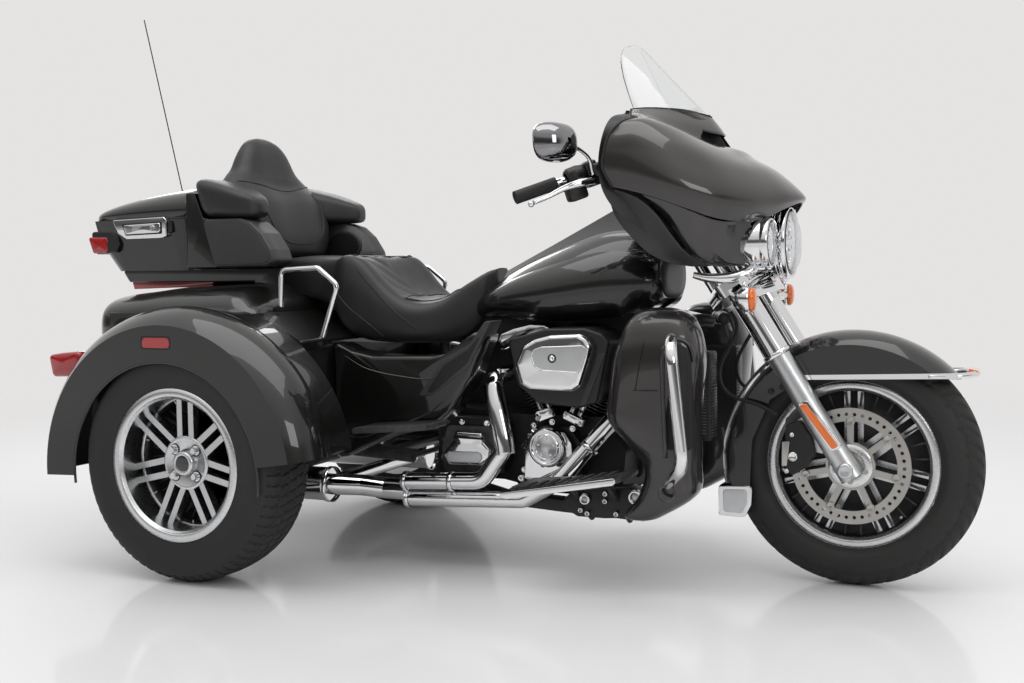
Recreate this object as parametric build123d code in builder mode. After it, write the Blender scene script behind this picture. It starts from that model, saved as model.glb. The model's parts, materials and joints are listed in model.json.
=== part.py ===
from build123d import *
import math
import os

# A three-wheeled touring motorcycle: one steered front wheel, two rear wheels on a cross axle, a hinged
# top box and a trunk.
# All sizes are millimetres. X is a station forward of the rear axle, Y is to the vehicle's left and Z is
# the height above the ground. Each finished piece moves by ORIGIN_X once, when it is written, so that the
# stored model's origin is on the ground at the middle of its overall length.

# ---- Overall driving dimensions ----
WHEELBASE = 1670
TRACK = 1166
RAKE = 31.4
TRAIL = 100
REAR_END_X = -857
PIECE_GAP = 0.3
RUNNING_FIT = 0.05
MOVING_GAP = 6

# ---- Wheels ----
FRONT_TYRE_RADIUS = 320
FRONT_TYRE_WIDTH = 130
FRONT_SEAT_RADIUS = 203
FRONT_FLANGE_RADIUS = 217.5
FRONT_RIM_HALF = 45
REAR_TYRE_RADIUS = 323.5
REAR_TYRE_WIDTH = 205
REAR_SEAT_RADIUS = 190.5
REAR_FLANGE_RADIUS = 207.5
REAR_RIM_HALF = 94
FLANGE_WALL = 7
BARREL_WALL = 12
SPOKE_PAIRS = 7
DISC_RADIUS = 150
DISC_WALL = 5
DISC_Y = 68
FRONT_AXLE_RADIUS = 12.5
FRONT_AXLE_BORE = 6
FRONT_HUB_HALF = 58
REAR_SPINDLE_RADIUS = 20

# ---- Fork and steering ----
FORK_SPACING = 240
SLIDER_RADIUS = 30
FORK_TUBE_RADIUS = 24.5
FORK_COVER_RADIUS = 34
SLIDER_TOP = 330
FORK_COVER_TOP = 520
LOWER_CLAMP = 545
UPPER_CLAMP = 712
CLAMP_THICKNESS = 36
STEM_RADIUS = 15
HEAD_TUBE_RADIUS = 30

# ---- Engine ----
CRANK_X = 882
CRANK_Z = 330
CYLINDER_LEAN = 22.5
BARREL_RADIUS = 52
FIN_WALL = 3
FIN_PITCH = 9.5
FIN_COUNT = 15
FIN_START = 128
FIN_HALF = 72

# ---- Bodywork ----
SKIN = 4
BOX_WALL = 5
FENDER_CENTRE_X = -25
FENDER_CENTRE_Z = 292
FENDER_RADIUS = 452
FENDER_SIDE_RADIUS = 408
ARCH_RADIUS = 310
FENDER_REACH = 112
OVERALL_WIDTH = TRACK + 2 * FENDER_REACH

REAR_AXLE_Z = REAR_TYRE_RADIUS
WHEEL_Y = TRACK / 2
LEG_Y = FORK_SPACING / 2
RAKE_SIN = math.sin(math.radians(RAKE))
RAKE_COS = math.cos(math.radians(RAKE))
FORK_OFFSET = FRONT_TYRE_RADIUS * RAKE_SIN - TRAIL * RAKE_COS
FRONT_AXLE = Vector(WHEELBASE, 0, FRONT_TYRE_RADIUS)
FORK_UP = Vector(-RAKE_SIN, 0, RAKE_COS)
FORK_AHEAD = Vector(RAKE_COS, 0, RAKE_SIN)
HEAD_AXIS_FOOT = FRONT_AXLE - FORK_AHEAD * FORK_OFFSET
FRONT_END_X = WHEELBASE + FRONT_TYRE_RADIUS
ORIGIN_X = -(FRONT_END_X + REAR_END_X) / 2

os.makedirs("parts", exist_ok=True)


# ---- Helpers ----
def write(piece, name):
    """Moves a finished piece to the model's origin and writes its file."""
    placed = piece.part.moved(Location((ORIGIN_X, 0, 0)))
    placed.label = name
    export_step(placed, f"parts/{name}.step")


def side_plane(y):
    """The upright plane along the vehicle at lateral station y. Extruding from it goes to the right."""
    return Plane.XZ.offset(-y)


def cross_plane(x):
    """The upright plane across the vehicle at station x: local X is left, local Y is up."""
    return Plane(origin=(x, 0, 0), x_dir=(0, 1, 0), z_dir=(1, 0, 0))


def wheel_plane(centre):
    """The upright plane through a wheel's centre: local X is its cross axis, local Y its radius."""
    return Plane(origin=centre, x_dir=(0, 1, 0), z_dir=(1, 0, 0))


def leg_plane(along, y=0, ahead=0):
    """The plane square to the fork at a distance up from the front axle; local X is left."""
    origin = FRONT_AXLE + FORK_UP * along + FORK_AHEAD * ahead + Vector(0, y, 0)
    return Plane(origin=origin, x_dir=(0, 1, 0), z_dir=FORK_UP)


def outline(plane, points, radius=0):
    """A face from a closed outline whose corners are rounded."""
    with BuildSketch(plane) as sketch:
        with BuildLine():
            if radius:
                FilletPolyline(*points, radius=radius, close=True)
            else:
                Polyline(*points, close=True)
        make_face()
    return sketch.sketch


def side_plate(y, thickness, points, radius=0, mode=Mode.ADD):
    """A plate with a side outline, from station y outwards to the right by its thickness."""
    extrude(outline(side_plane(y), points, radius), amount=thickness, mode=mode)


def middle_plate(half_width, points, radius=0, mode=Mode.ADD):
    """A body with a side outline, as wide on both sides of the vehicle's middle plane."""
    extrude(outline(side_plane(0), points, radius), amount=half_width, both=True, mode=mode)


def tube(points, bend, radius, mode=Mode.ADD):
    """A round bar along straight runs joined by tangent bends."""
    with BuildLine() as path:
        FilletPolyline(*points, radius=bend)
    with BuildSketch(Plane(origin=path.line @ 0, z_dir=path.line % 0)) as section:
        Circle(radius)
    sweep(section.sketch, path=path.line, mode=mode)


def rod(start, end, radius, mode=Mode.ADD):
    """A straight round bar between two points."""
    run = Vector(*end) - Vector(*start)
    with BuildSketch(Plane(origin=start, z_dir=run)) as section:
        Circle(radius)
    extrude(section.sketch, amount=run.length, mode=mode)


def rounded_loft(sections, plane_at, mode=Mode.ADD):
    """A body through rounded rectangles: (station, centre 1, centre 2, size 1, size 2, corner)."""
    faces = []
    for station, centre_1, centre_2, size_1, size_2, corner in sections:
        with BuildSketch(plane_at(station)) as section:
            with Locations((centre_1, centre_2)):
                RectangleRounded(size_1, size_2, corner)
        faces.append(section.sketch)
    loft(sections=faces, mode=mode)


# ---- Wheels ----
def tyre(centre, radius, width, seat, flange, rim_half, tread_half, crown_drop):
    """A smooth tyre: beads inside the rim's flanges, bulged sidewalls and a crowned tread."""
    bead = rim_half - FLANGE_WALL - PIECE_GAP
    lip = flange + PIECE_GAP * 4
    shoulder = radius - crown_drop
    belly = (lip + shoulder) / 2
    with BuildSketch(wheel_plane(centre)) as section:
        with BuildLine():
            Polyline((-rim_half - 2, lip), (-bead, lip), (-bead, seat + PIECE_GAP),
                     (bead, seat + PIECE_GAP), (bead, lip), (rim_half + 2, lip))
            ThreePointArc((rim_half + 2, lip), (width / 2, belly), (tread_half, shoulder))
            ThreePointArc((tread_half, shoulder), (0, radius), (-tread_half, shoulder))
            ThreePointArc((-tread_half, shoulder), (-width / 2, belly), (-rim_half - 2, lip))
        make_face()
    revolve(section.sketch, axis=Axis(centre, (0, 1, 0)))


def rim_barrel(centre, seat, flange, rim_half):
    """The rim's barrel with a flange at each edge."""
    inner = rim_half - FLANGE_WALL
    with BuildSketch(wheel_plane(centre)) as section:
        with BuildLine():
            Polyline((-rim_half, flange), (-inner, flange), (-inner, seat), (inner, seat),
                     (inner, flange), (rim_half, flange), (rim_half, seat - BARREL_WALL / 2),
                     (inner, seat - BARREL_WALL), (-inner, seat - BARREL_WALL),
                     (-rim_half, seat - BARREL_WALL / 2), close=True)
        make_face()
    revolve(section.sketch, axis=Axis(centre, (0, 1, 0)))


def spoke_pairs(centre, y, thickness, inner, outer, spread, width):
    """Pairs of straight spokes, from the hub out to the barrel."""
    plane = Plane(origin=(centre[0], y, centre[2]), x_dir=(1, 0, 0), z_dir=(0, -1, 0))
    with BuildSketch(plane) as sketch:
        with PolarLocations(0, SPOKE_PAIRS, start_angle=90):
            for offset in (-spread / 2, spread / 2):
                with Locations(((inner + outer) / 2, offset)):
                    Rectangle(outer - inner, width)
    extrude(sketch.sketch, amount=thickness)


FRONT_CENTRE = (WHEELBASE, 0, FRONT_TYRE_RADIUS)
FRONT_SPOKE_HALF = 14
FRONT_HUB_RADIUS = 44

with BuildPart() as front_tyre:
    tyre(FRONT_CENTRE, FRONT_TYRE_RADIUS, FRONT_TYRE_WIDTH, FRONT_SEAT_RADIUS, FRONT_FLANGE_RADIUS,
         FRONT_RIM_HALF, tread_half=50, crown_drop=34)
write(front_tyre, "front_tyre")

with BuildPart() as front_rim:
    rim_barrel(FRONT_CENTRE, FRONT_SEAT_RADIUS, FRONT_FLANGE_RADIUS, FRONT_RIM_HALF)
    spoke_pairs(FRONT_CENTRE, FRONT_SPOKE_HALF, 2 * FRONT_SPOKE_HALF, FRONT_HUB_RADIUS - 6,
                FRONT_SEAT_RADIUS - BARREL_WALL / 2, spread=34, width=15)
    with BuildSketch(side_plane(FRONT_HUB_HALF)) as hub:
        with Locations((WHEELBASE, FRONT_TYRE_RADIUS)):
            Circle(FRONT_HUB_RADIUS)
    extrude(hub.sketch, amount=2 * FRONT_HUB_HALF)
    rod((WHEELBASE, FRONT_HUB_HALF, FRONT_TYRE_RADIUS), (WHEELBASE, -FRONT_HUB_HALF, FRONT_TYRE_RADIUS),
        FRONT_AXLE_RADIUS + RUNNING_FIT, mode=Mode.SUBTRACT)
write(front_rim, "front_rim")

# Each disc sits on the hub's end face: a carrier ring and lugs out to the drilled band.
DISC_BAND = 34
DISC_CARRIER_RADIUS = 62
BOBBIN_COUNT = 7
BOBBIN_RADIUS = 11
DISC_HOLE_RADIUS = 4.5
DISC_HOLE_COUNT = 42

with BuildPart() as front_discs:
    disc_inner = FRONT_HUB_HALF + PIECE_GAP
    with BuildSketch(side_plane(-disc_inner)) as carrier:
        with Locations((WHEELBASE, FRONT_TYRE_RADIUS)):
            Circle(DISC_CARRIER_RADIUS)
            Circle(FRONT_AXLE_RADIUS + MOVING_GAP, mode=Mode.SUBTRACT)
    extrude(carrier.sketch, amount=DISC_Y + DISC_WALL / 2 - disc_inner)
    with BuildSketch(side_plane(-DISC_Y + DISC_WALL / 2)) as band:
        with Locations((WHEELBASE, FRONT_TYRE_RADIUS)):
            Circle(DISC_RADIUS)
            Circle(DISC_RADIUS - DISC_BAND, mode=Mode.SUBTRACT)
            with PolarLocations(DISC_RADIUS - DISC_BAND / 2, DISC_HOLE_COUNT):
                Circle(DISC_HOLE_RADIUS, mode=Mode.SUBTRACT)
            with PolarLocations(DISC_RADIUS - DISC_BAND, BOBBIN_COUNT, start_angle=90):
                Circle(BOBBIN_RADIUS)
            with PolarLocations((DISC_RADIUS - DISC_BAND + DISC_CARRIER_RADIUS) / 2, BOBBIN_COUNT,
                                start_angle=90):
                Rectangle(DISC_RADIUS - DISC_BAND - DISC_CARRIER_RADIUS + 8, 16)
    extrude(band.sketch, amount=DISC_WALL)
    mirror(about=Plane.XZ)
write(front_discs, "front_discs")

# The rear wheels: the spokes stand in behind a deep outer lip, and the hub turns on the axle's spindle.
REAR_FACE_Y = WHEEL_Y + 42
REAR_SPOKE_WALL = 26
REAR_HUB_RADIUS = 72
REAR_HUB_INNER_Y = WHEEL_Y - 62
REAR_DISC_RADIUS = 140
CAP_RADIUS = 31
LUG_PITCH_RADIUS = 50
LUG_COUNT = 4
LUG_RADIUS = 10
SPINDLE_END_Y = WHEEL_Y + 24

for side_name, side in (("right", -1), ("left", 1)):
    centre = (0, side * WHEEL_Y, REAR_AXLE_Z)
    with BuildPart() as rear_tyre:
        tyre(centre, REAR_TYRE_RADIUS, REAR_TYRE_WIDTH, REAR_SEAT_RADIUS, REAR_FLANGE_RADIUS,
             REAR_RIM_HALF, tread_half=80, crown_drop=14)
    write(rear_tyre, f"rear_tyre_{side_name}")

    with BuildPart() as rear_rim:
        right_centre = (0, -WHEEL_Y, REAR_AXLE_Z)
        rim_barrel(right_centre, REAR_SEAT_RADIUS, REAR_FLANGE_RADIUS, REAR_RIM_HALF)
        spoke_pairs(right_centre, -REAR_FACE_Y + REAR_SPOKE_WALL, REAR_SPOKE_WALL,
                    REAR_HUB_RADIUS - 10, REAR_SEAT_RADIUS - BARREL_WALL / 2, spread=38, width=17)
        # (inner station, outer station, radius) of the hub, its brake disc and the centre cap
        for inner_y, outer_y, radius in (
                (REAR_HUB_INNER_Y, REAR_FACE_Y, REAR_HUB_RADIUS),
                (REAR_HUB_INNER_Y, REAR_HUB_INNER_Y + 10, REAR_DISC_RADIUS),
                (REAR_FACE_Y, REAR_FACE_Y + 9, CAP_RADIUS)):
            with BuildSketch(side_plane(-inner_y)) as hub:
                with Locations((0, REAR_AXLE_Z)):
                    Circle(radius)
            extrude(hub.sketch, amount=outer_y - inner_y)
        with BuildSketch(side_plane(-REAR_FACE_Y)) as lugs:
            with Locations((0, REAR_AXLE_Z)):
                with PolarLocations(LUG_PITCH_RADIUS, LUG_COUNT, start_angle=45):
                    RegularPolygon(LUG_RADIUS, 6)
        extrude(lugs.sketch, amount=12)
        rod((0, -REAR_HUB_INNER_Y, REAR_AXLE_Z), (0, -SPINDLE_END_Y - MOVING_GAP, REAR_AXLE_Z),
            REAR_SPINDLE_RADIUS + RUNNING_FIT, mode=Mode.SUBTRACT)
        if side > 0:
            mirror(about=Plane.XZ, mode=Mode.REPLACE)
    write(rear_rim, f"rear_rim_{side_name}")

# ---- Rear axle: cross housing, drive housing and the spindles that carry the wheels ----
AXLE_TUBE_RADIUS = 38
DRIVE_HOUSING_RADIUS = 98
DRIVE_HOUSING_HALF = 70
SHOULDER_RADIUS = 46

with BuildPart() as rear_axle:
    axle_end = REAR_HUB_INNER_Y - MOVING_GAP
    # (half length, radius) of the housing, the cross tube, the end shoulder and the spindle
    for half_length, radius in ((DRIVE_HOUSING_HALF, DRIVE_HOUSING_RADIUS),
                                (axle_end, AXLE_TUBE_RADIUS),
                                (SPINDLE_END_Y, REAR_SPINDLE_RADIUS)):
        with BuildSketch(side_plane(0)) as section:
            with Locations((0, REAR_AXLE_Z)):
                Circle(radius)
        extrude(section.sketch, amount=half_length, both=True)
write(rear_axle, "rear_axle")

# ---- Frame: head tube, backbone, cradle and the two arms that hold the rear axle ----
FRAME_TUBE_RADIUS = 16
BACKBONE_RADIUS = 28
CRADLE_Y = 128
CRADLE_Z = 150
BODY_FRONT_X = 262
ARM_Y = 172
ARM_RADIUS = 20
PIVOT_X = 452
PIVOT_Z = 300
PIVOT_RADIUS = 8
ENGINE_MOUNT_X = 900
CASE_BOTTOM_Z = 205
SEAT_BASE_Z = 624
TUNNEL_TOP = 800
HEAD_BOTTOM = LOWER_CLAMP + CLAMP_THICKNESS / 2 + MOVING_GAP
HEAD_TOP = UPPER_CLAMP - CLAMP_THICKNESS / 2 - MOVING_GAP
HEAD_BASE = HEAD_AXIS_FOOT + FORK_UP * HEAD_BOTTOM
HEAD_CROWN = HEAD_AXIS_FOOT + FORK_UP * HEAD_TOP

with BuildPart() as frame:
    rod(HEAD_BASE, HEAD_CROWN, HEAD_TUBE_RADIUS)
    backbone_start = HEAD_BASE + FORK_UP * 40
    tube([(backbone_start.X, 0, backbone_start.Z), (1090, 0, 722), (690, 0, 704), (600, 0, 586),
          (BODY_FRONT_X - 30, 0, 558)], 40, BACKBONE_RADIUS)
    for hand in (-1, 1):
        cradle_y = hand * CRADLE_Y
        tube([(1216, hand * 12, 768), (1168, hand * 60, 420), (1140, cradle_y, CRADLE_Z),
              (PIVOT_X, cradle_y, CRADLE_Z), (PIVOT_X, cradle_y, 430), (400, cradle_y, 540),
              (BODY_FRONT_X - 30, cradle_y, 600)], 45, FRAME_TUBE_RADIUS)
    for cross_x, cross_z in ((480, CRADLE_Z), (1120, CRADLE_Z), (400, 540)):
        rod((cross_x, -CRADLE_Y, cross_z), (cross_x, CRADLE_Y, cross_z), FRAME_TUBE_RADIUS)
    rod((400, 0, 540), (400, 0, 566), FRAME_TUBE_RADIUS)
    # Posts up to the engine, the seat and the tank's tunnel: (station, foot height, top height)
    rod((ENGINE_MOUNT_X, -CRADLE_Y, CRADLE_Z), (ENGINE_MOUNT_X, CRADLE_Y, CRADLE_Z), FRAME_TUBE_RADIUS)
    for post_x, post_foot, post_top in ((ENGINE_MOUNT_X, CRADLE_Z, CASE_BOTTOM_Z - PIECE_GAP),
                                        (470, 572, SEAT_BASE_Z - PIECE_GAP),
                                        (770, 704, TUNNEL_TOP - PIECE_GAP),
                                        (1040, 718, TUNNEL_TOP - PIECE_GAP)):
        rod((post_x, 0, post_foot), (post_x, 0, post_top), FRAME_TUBE_RADIUS)
    rod(HEAD_BASE, HEAD_CROWN, STEM_RADIUS + RUNNING_FIT, mode=Mode.SUBTRACT)
    rod((PIVOT_X, -ARM_Y, PIVOT_Z), (PIVOT_X, ARM_Y, PIVOT_Z), PIVOT_RADIUS + PIECE_GAP,
        mode=Mode.SUBTRACT)
    split(bisect_by=cross_plane(BODY_FRONT_X + PIECE_GAP), keep=Keep.TOP)
write(frame, "frame")

with BuildPart() as swing_arm:
    for hand in (-1, 1):
        rod((0, hand * ARM_Y, REAR_AXLE_Z), (PIVOT_X, hand * ARM_Y, PIVOT_Z), ARM_RADIUS)
    rod((PIVOT_X, -ARM_Y, PIVOT_Z), (PIVOT_X, ARM_Y, PIVOT_Z), PIVOT_RADIUS)
    rod((360, -ARM_Y, PIVOT_Z + 5), (360, ARM_Y, PIVOT_Z + 5), ARM_RADIUS - 4)
    add(rear_axle.part, mode=Mode.SUBTRACT)
write(swing_arm, "swing_arm")

# ---- Engine ----
CASE_HALF = 100
CASE_TOP_Z = 425

with BuildPart() as crankcase:
    middle_plate(CASE_HALF, [(492, 235), (740, 235), (768, CASE_BOTTOM_Z), (1062, CASE_BOTTOM_Z),
                             (1075, 330), (1010, CASE_TOP_Z), (740, CASE_TOP_Z), (560, 440),
                             (500, 400)], 16)
write(crankcase, "crankcase")


def cylinder_plane(lean, along):
    """The plane square to a cylinder at a distance from the crank; local X is left."""
    angle = math.radians(lean)
    direction = Vector(math.sin(angle), 0, math.cos(angle))
    origin = Vector(CRANK_X, 0, CRANK_Z) + direction * along
    return Plane(origin=origin, x_dir=(0, 1, 0), z_dir=direction)


CYLINDER_TOP = FIN_START + FIN_PITCH * (FIN_COUNT - 1) + FIN_WALL + 8
ROCKER_HEIGHT = 56


def finned_cylinder(lean):
    """One barrel with its cooling fins, cut off short of the other cylinder."""
    with BuildPart() as cylinder:
        with BuildSketch(cylinder_plane(lean, 80)) as barrel:
            Circle(BARREL_RADIUS)
        extrude(barrel.sketch, amount=CYLINDER_TOP - 80)
        for fin in range(FIN_COUNT):
            with BuildSketch(cylinder_plane(lean, FIN_START + fin * FIN_PITCH)) as plate:
                RectangleRounded(2 * FIN_HALF, 2 * FIN_HALF, 26)
            extrude(plate.sketch, amount=FIN_WALL)
        keep_side = Keep.TOP if lean > 0 else Keep.BOTTOM
        split(bisect_by=cross_plane(CRANK_X + math.copysign(1, lean)), keep=keep_side)
        add(crankcase.part, mode=Mode.SUBTRACT)
    return cylinder.part


with BuildPart() as cylinders:
    add(finned_cylinder(CYLINDER_LEAN))
    add(finned_cylinder(-CYLINDER_LEAN))
write(cylinders, "cylinders")

# The rocker covers, with the pushrod tubes that rise to them from the crankcase.
TAPPET_Y = 90
PUSHROD_TOP_Y = FIN_HALF + 12
PUSHROD_RADIUS = 9
with BuildPart() as rocker_covers:
    for lean in (CYLINDER_LEAN, -CYLINDER_LEAN):
        with BuildSketch(cylinder_plane(lean, CYLINDER_TOP)) as base:
            RectangleRounded(196, 104, 26)
        extrude(base.sketch, amount=ROCKER_HEIGHT, taper=8)
        for spread in (-1, 1):
            foot = cylinder_plane(lean, 100).origin
            head = cylinder_plane(lean, CYLINDER_TOP + PUSHROD_RADIUS).origin
            rod((foot.X + spread * 13, -TAPPET_Y, CASE_TOP_Z - 10),
                (head.X + spread * 20, -PUSHROD_TOP_Y, head.Z), PUSHROD_RADIUS)
    add(crankcase.part, mode=Mode.SUBTRACT)
write(rocker_covers, "rocker_covers")

CAM_X = 870
CAM_Z = 345
CAM_RADIUS = 58
with BuildPart() as case_covers:
    side_plate(-CASE_HALF - PIECE_GAP, 44, [(790, 250), (960, 250), (968, 345), (925, 398),
                                            (820, 398), (785, 345)], 25)
    side_plate(-CASE_HALF - 44, 20, [(806, 262), (938, 262), (945, 345), (910, 388), (828, 388),
                                     (800, 345)], 25)
    with BuildSketch(side_plane(-CASE_HALF - 64)) as boss:
        with Locations((CAM_X, CAM_Z)):
            Circle(CAM_RADIUS)
    extrude(boss.sketch, amount=16, taper=20)
    side_plate(-CASE_HALF - PIECE_GAP, 62, [(545, 255), (722, 268), (740, 330), (728, 392),
                                            (560, 392), (540, 330)], 16)
write(case_covers, "case_covers")

with BuildPart() as primary_cover:
    side_plate(CASE_HALF + PIECE_GAP + 95, 95, [(520, 250), (880, 205), (1010, 225), (1045, 330),
                                                (985, 420), (560, 430), (505, 350)], 40)
    side_plate(CASE_HALF + 120, 30, [(560, 285), (880, 245), (985, 265), (1000, 330), (950, 390),
                                     (600, 395), (555, 345)], 30)
write(primary_cover, "primary_cover")

# The air cleaner stands out between the cylinders: a black backing with a bright cover.
AIR_CLEANER_Y = 112
INTAKE_Z = 574
with BuildPart() as air_cleaner:
    side_plate(-AIR_CLEANER_Y, 128, [(784, 644), (812, 495), (1057, 489), (1078, 655), (1030, 676),
                           (902, 672)], 22)
    # The intake between the two cylinders carries it.
    rod((CRANK_X, 0, INTAKE_Z), (CRANK_X, -AIR_CLEANER_Y - 1, INTAKE_Z), 22)
    rod((CRANK_X - 64, 0, INTAKE_Z), (CRANK_X + 64, 0, INTAKE_Z), 20)
    add(cylinders.part, mode=Mode.SUBTRACT)
    add(rocker_covers.part, mode=Mode.SUBTRACT)
write(air_cleaner, "air_cleaner")

with BuildPart() as air_cleaner_cover:
    side_plate(-AIR_CLEANER_Y - 128 - PIECE_GAP, 42, [(822, 612), (836, 520), (870, 506), (1008, 502), (1048, 585),
                                      (1052, 650), (1024, 667), (872, 652)], 16)
write(air_cleaner_cover, "air_cleaner_cover")

# ---- Exhaust ----
HEADER_RADIUS = 24
HEADER_END_X = 470
MUFFLER_RADIUS = 48
MUFFLER_Y = 300
MUFFLER_Z = 226

with BuildPart() as exhaust_headers:
    tube([(714, 12 - FIN_HALF, 540), (722, -200, 536), (775, -235, 350), (705, -240, 252),
          (HEADER_END_X, -250, 240)], 55, HEADER_RADIUS)
    tube([(1060, 12 - FIN_HALF, 482), (1084, -140, 460), (925, -212, 262), (820, -222, 205),
          (HEADER_END_X, -235, 190)], 42, HEADER_RADIUS)
    add(cylinders.part, mode=Mode.SUBTRACT)
    split(bisect_by=cross_plane(HEADER_END_X + PIECE_GAP), keep=Keep.TOP)
write(exhaust_headers, "exhaust_headers")

with BuildPart() as mufflers:
    for hand in (-1, 1):
        rod((250, hand * MUFFLER_Y, MUFFLER_Z), (-420, hand * MUFFLER_Y, MUFFLER_Z), MUFFLER_RADIUS)
        rod((-380, hand * MUFFLER_Y, MUFFLER_Z), (-470, hand * MUFFLER_Y, MUFFLER_Z), 30)
    tube([(HEADER_END_X, -243, 215), (400, -243, 215), (330, -262, 222),
          (240, -MUFFLER_Y, MUFFLER_Z)], 30, 30)
    rod((225, -MUFFLER_Y, MUFFLER_Z), (225, MUFFLER_Y, MUFFLER_Z), 20)
write(mufflers, "mufflers")

# ---- Fuel tank and console ----
# (station, half width, top, bottom): crowned sections from the tail to the front
TANK_SECTIONS = ((588, 52, 742, 702), (640, 104, 782, 698), (780, 158, 862, 694), (930, 178, 920, 692),
                 (1060, 172, 943, 702), (1140, 148, 918, 720), (1182, 108, 872, 752))
TUNNEL_HALF = 40


def tank_form(grow, mode=Mode.ADD):
    """The tank's outer form, made larger all round by a clearance."""
    faces = []
    for station, half, top, bottom in TANK_SECTIONS:
        half_grown = half + grow
        low = bottom - grow
        high = top + grow
        shoulder = low + (high - low) * 0.74
        waist = low + (high - low) * 0.34
        with BuildSketch(cross_plane(station)) as section:
            with BuildLine():
                Line((-half_grown * 0.78, low), (half_grown * 0.78, low))
                ThreePointArc((half_grown * 0.78, low), (half_grown, waist),
                              (half_grown * 0.74, shoulder))
                ThreePointArc((half_grown * 0.74, shoulder), (0, high), (-half_grown * 0.74, shoulder))
                ThreePointArc((-half_grown * 0.74, shoulder), (-half_grown, waist),
                              (-half_grown * 0.78, low))
            make_face()
        faces.append(section.sketch)
    loft(sections=faces, mode=mode)


with BuildPart() as fuel_tank:
    tank_form(0)
    with BuildSketch(cross_plane(TANK_SECTIONS[0][0] - 10)) as tunnel:
        with Locations((0, (TUNNEL_TOP + 640) / 2)):
            RectangleRounded(2 * TUNNEL_HALF, TUNNEL_TOP - 640, 20)
    extrude(tunnel.sketch, amount=640, mode=Mode.SUBTRACT)
write(fuel_tank, "fuel_tank")

with BuildPart() as tank_console:
    middle_plate(38, [(668, 780), (700, 832), (846, 904), (969, 966), (1040, 1002), (1086, 972),
                      (1100, 900)], 12)
    tank_form(PIECE_GAP, mode=Mode.SUBTRACT)
write(tank_console, "tank_console")

# ---- Seat and backrest ----
SEAT_HALF = 190
SEAT_SIDE = [(-30, 798), (-30, 876), (106, 887), (236, 884), (300, 868), (388, 812), (455, 757),
             (523, 767), (590, 806), (655, 838), (655, 806), (584, 757), (578, 662), (516, SEAT_BASE_Z),
             (351, SEAT_BASE_Z), (268, 656), (200, 726), (110, 794)]
SEAT_PLAN = [(-40, -165), (225, -184), (330, -SEAT_HALF), (455, -186), (530, -166), (600, -120),
             (660, -70), (660, 70), (600, 120), (530, 166), (455, 186), (330, SEAT_HALF), (225, 184),
             (-40, 165)]

with BuildPart() as seat:
    middle_plate(SEAT_HALF, SEAT_SIDE, 9)
    extrude(outline(Plane.XY.offset(600), SEAT_PLAN, 12), amount=300, dir=(0, 0, 1),
            mode=Mode.INTERSECT)
write(seat, "seat")

BACKREST_FACE_X = -44
BACKREST_BACK_X = -146
WING_OUTER_Y = 330
WING_LOW_Z = 1012

with BuildPart() as backrest:
    # (height, centre X, centre Y, depth, width, corner radius) up the middle pad and its head hump
    rounded_loft(((886, -84, 0, 84, 380, 36), (1000, -96, 0, 92, 440, 40), (1090, -108, 0, 96, 400, 40),
                  (1150, -140, 0, 96, 290, 42), (1210, -168, 0, 90, 236, 42),
                  (1262, -192, 0, 60, 150, 28)), Plane.XY.offset)
    with BuildSketch(Plane.XY.offset(WING_LOW_Z)) as wing:
        with BuildLine():
            FilletPolyline((-150, 150), (-70, 190), (30, WING_OUTER_Y - 78), (30, WING_OUTER_Y - 4),
                           (-120, WING_OUTER_Y), (-196, WING_OUTER_Y - 40), radius=24, close=True)
        make_face()
    extrude(wing.sketch, amount=80, dir=(0, 0, 1))
    mirror(about=Plane.XZ)
write(backrest, "backrest")

# ---- Rear body: a hollow trunk between the wheels with a door at its back ----
TRUNK_HALF = 452
TRUNK_TOP_HALF = 300
TRUNK_REAR_X = -492
TRUNK_FLOOR_Z = 434
TRUNK_TOP_Z = 800
DOOR_HALF = 330
DOOR_LOW_Z = 462
DOOR_HIGH_Z = 742
DOOR_WALL = 18
HINGE_X = TRUNK_REAR_X - 16
HINGE_Z = DOOR_LOW_Z - 4
HINGE_INNER_Y = 150
HINGE_OUTER_Y = 250
HINGE_LUG = 16
HINGE_PIN_RADIUS = 4
HOLD_FRONT_X = -70

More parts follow.
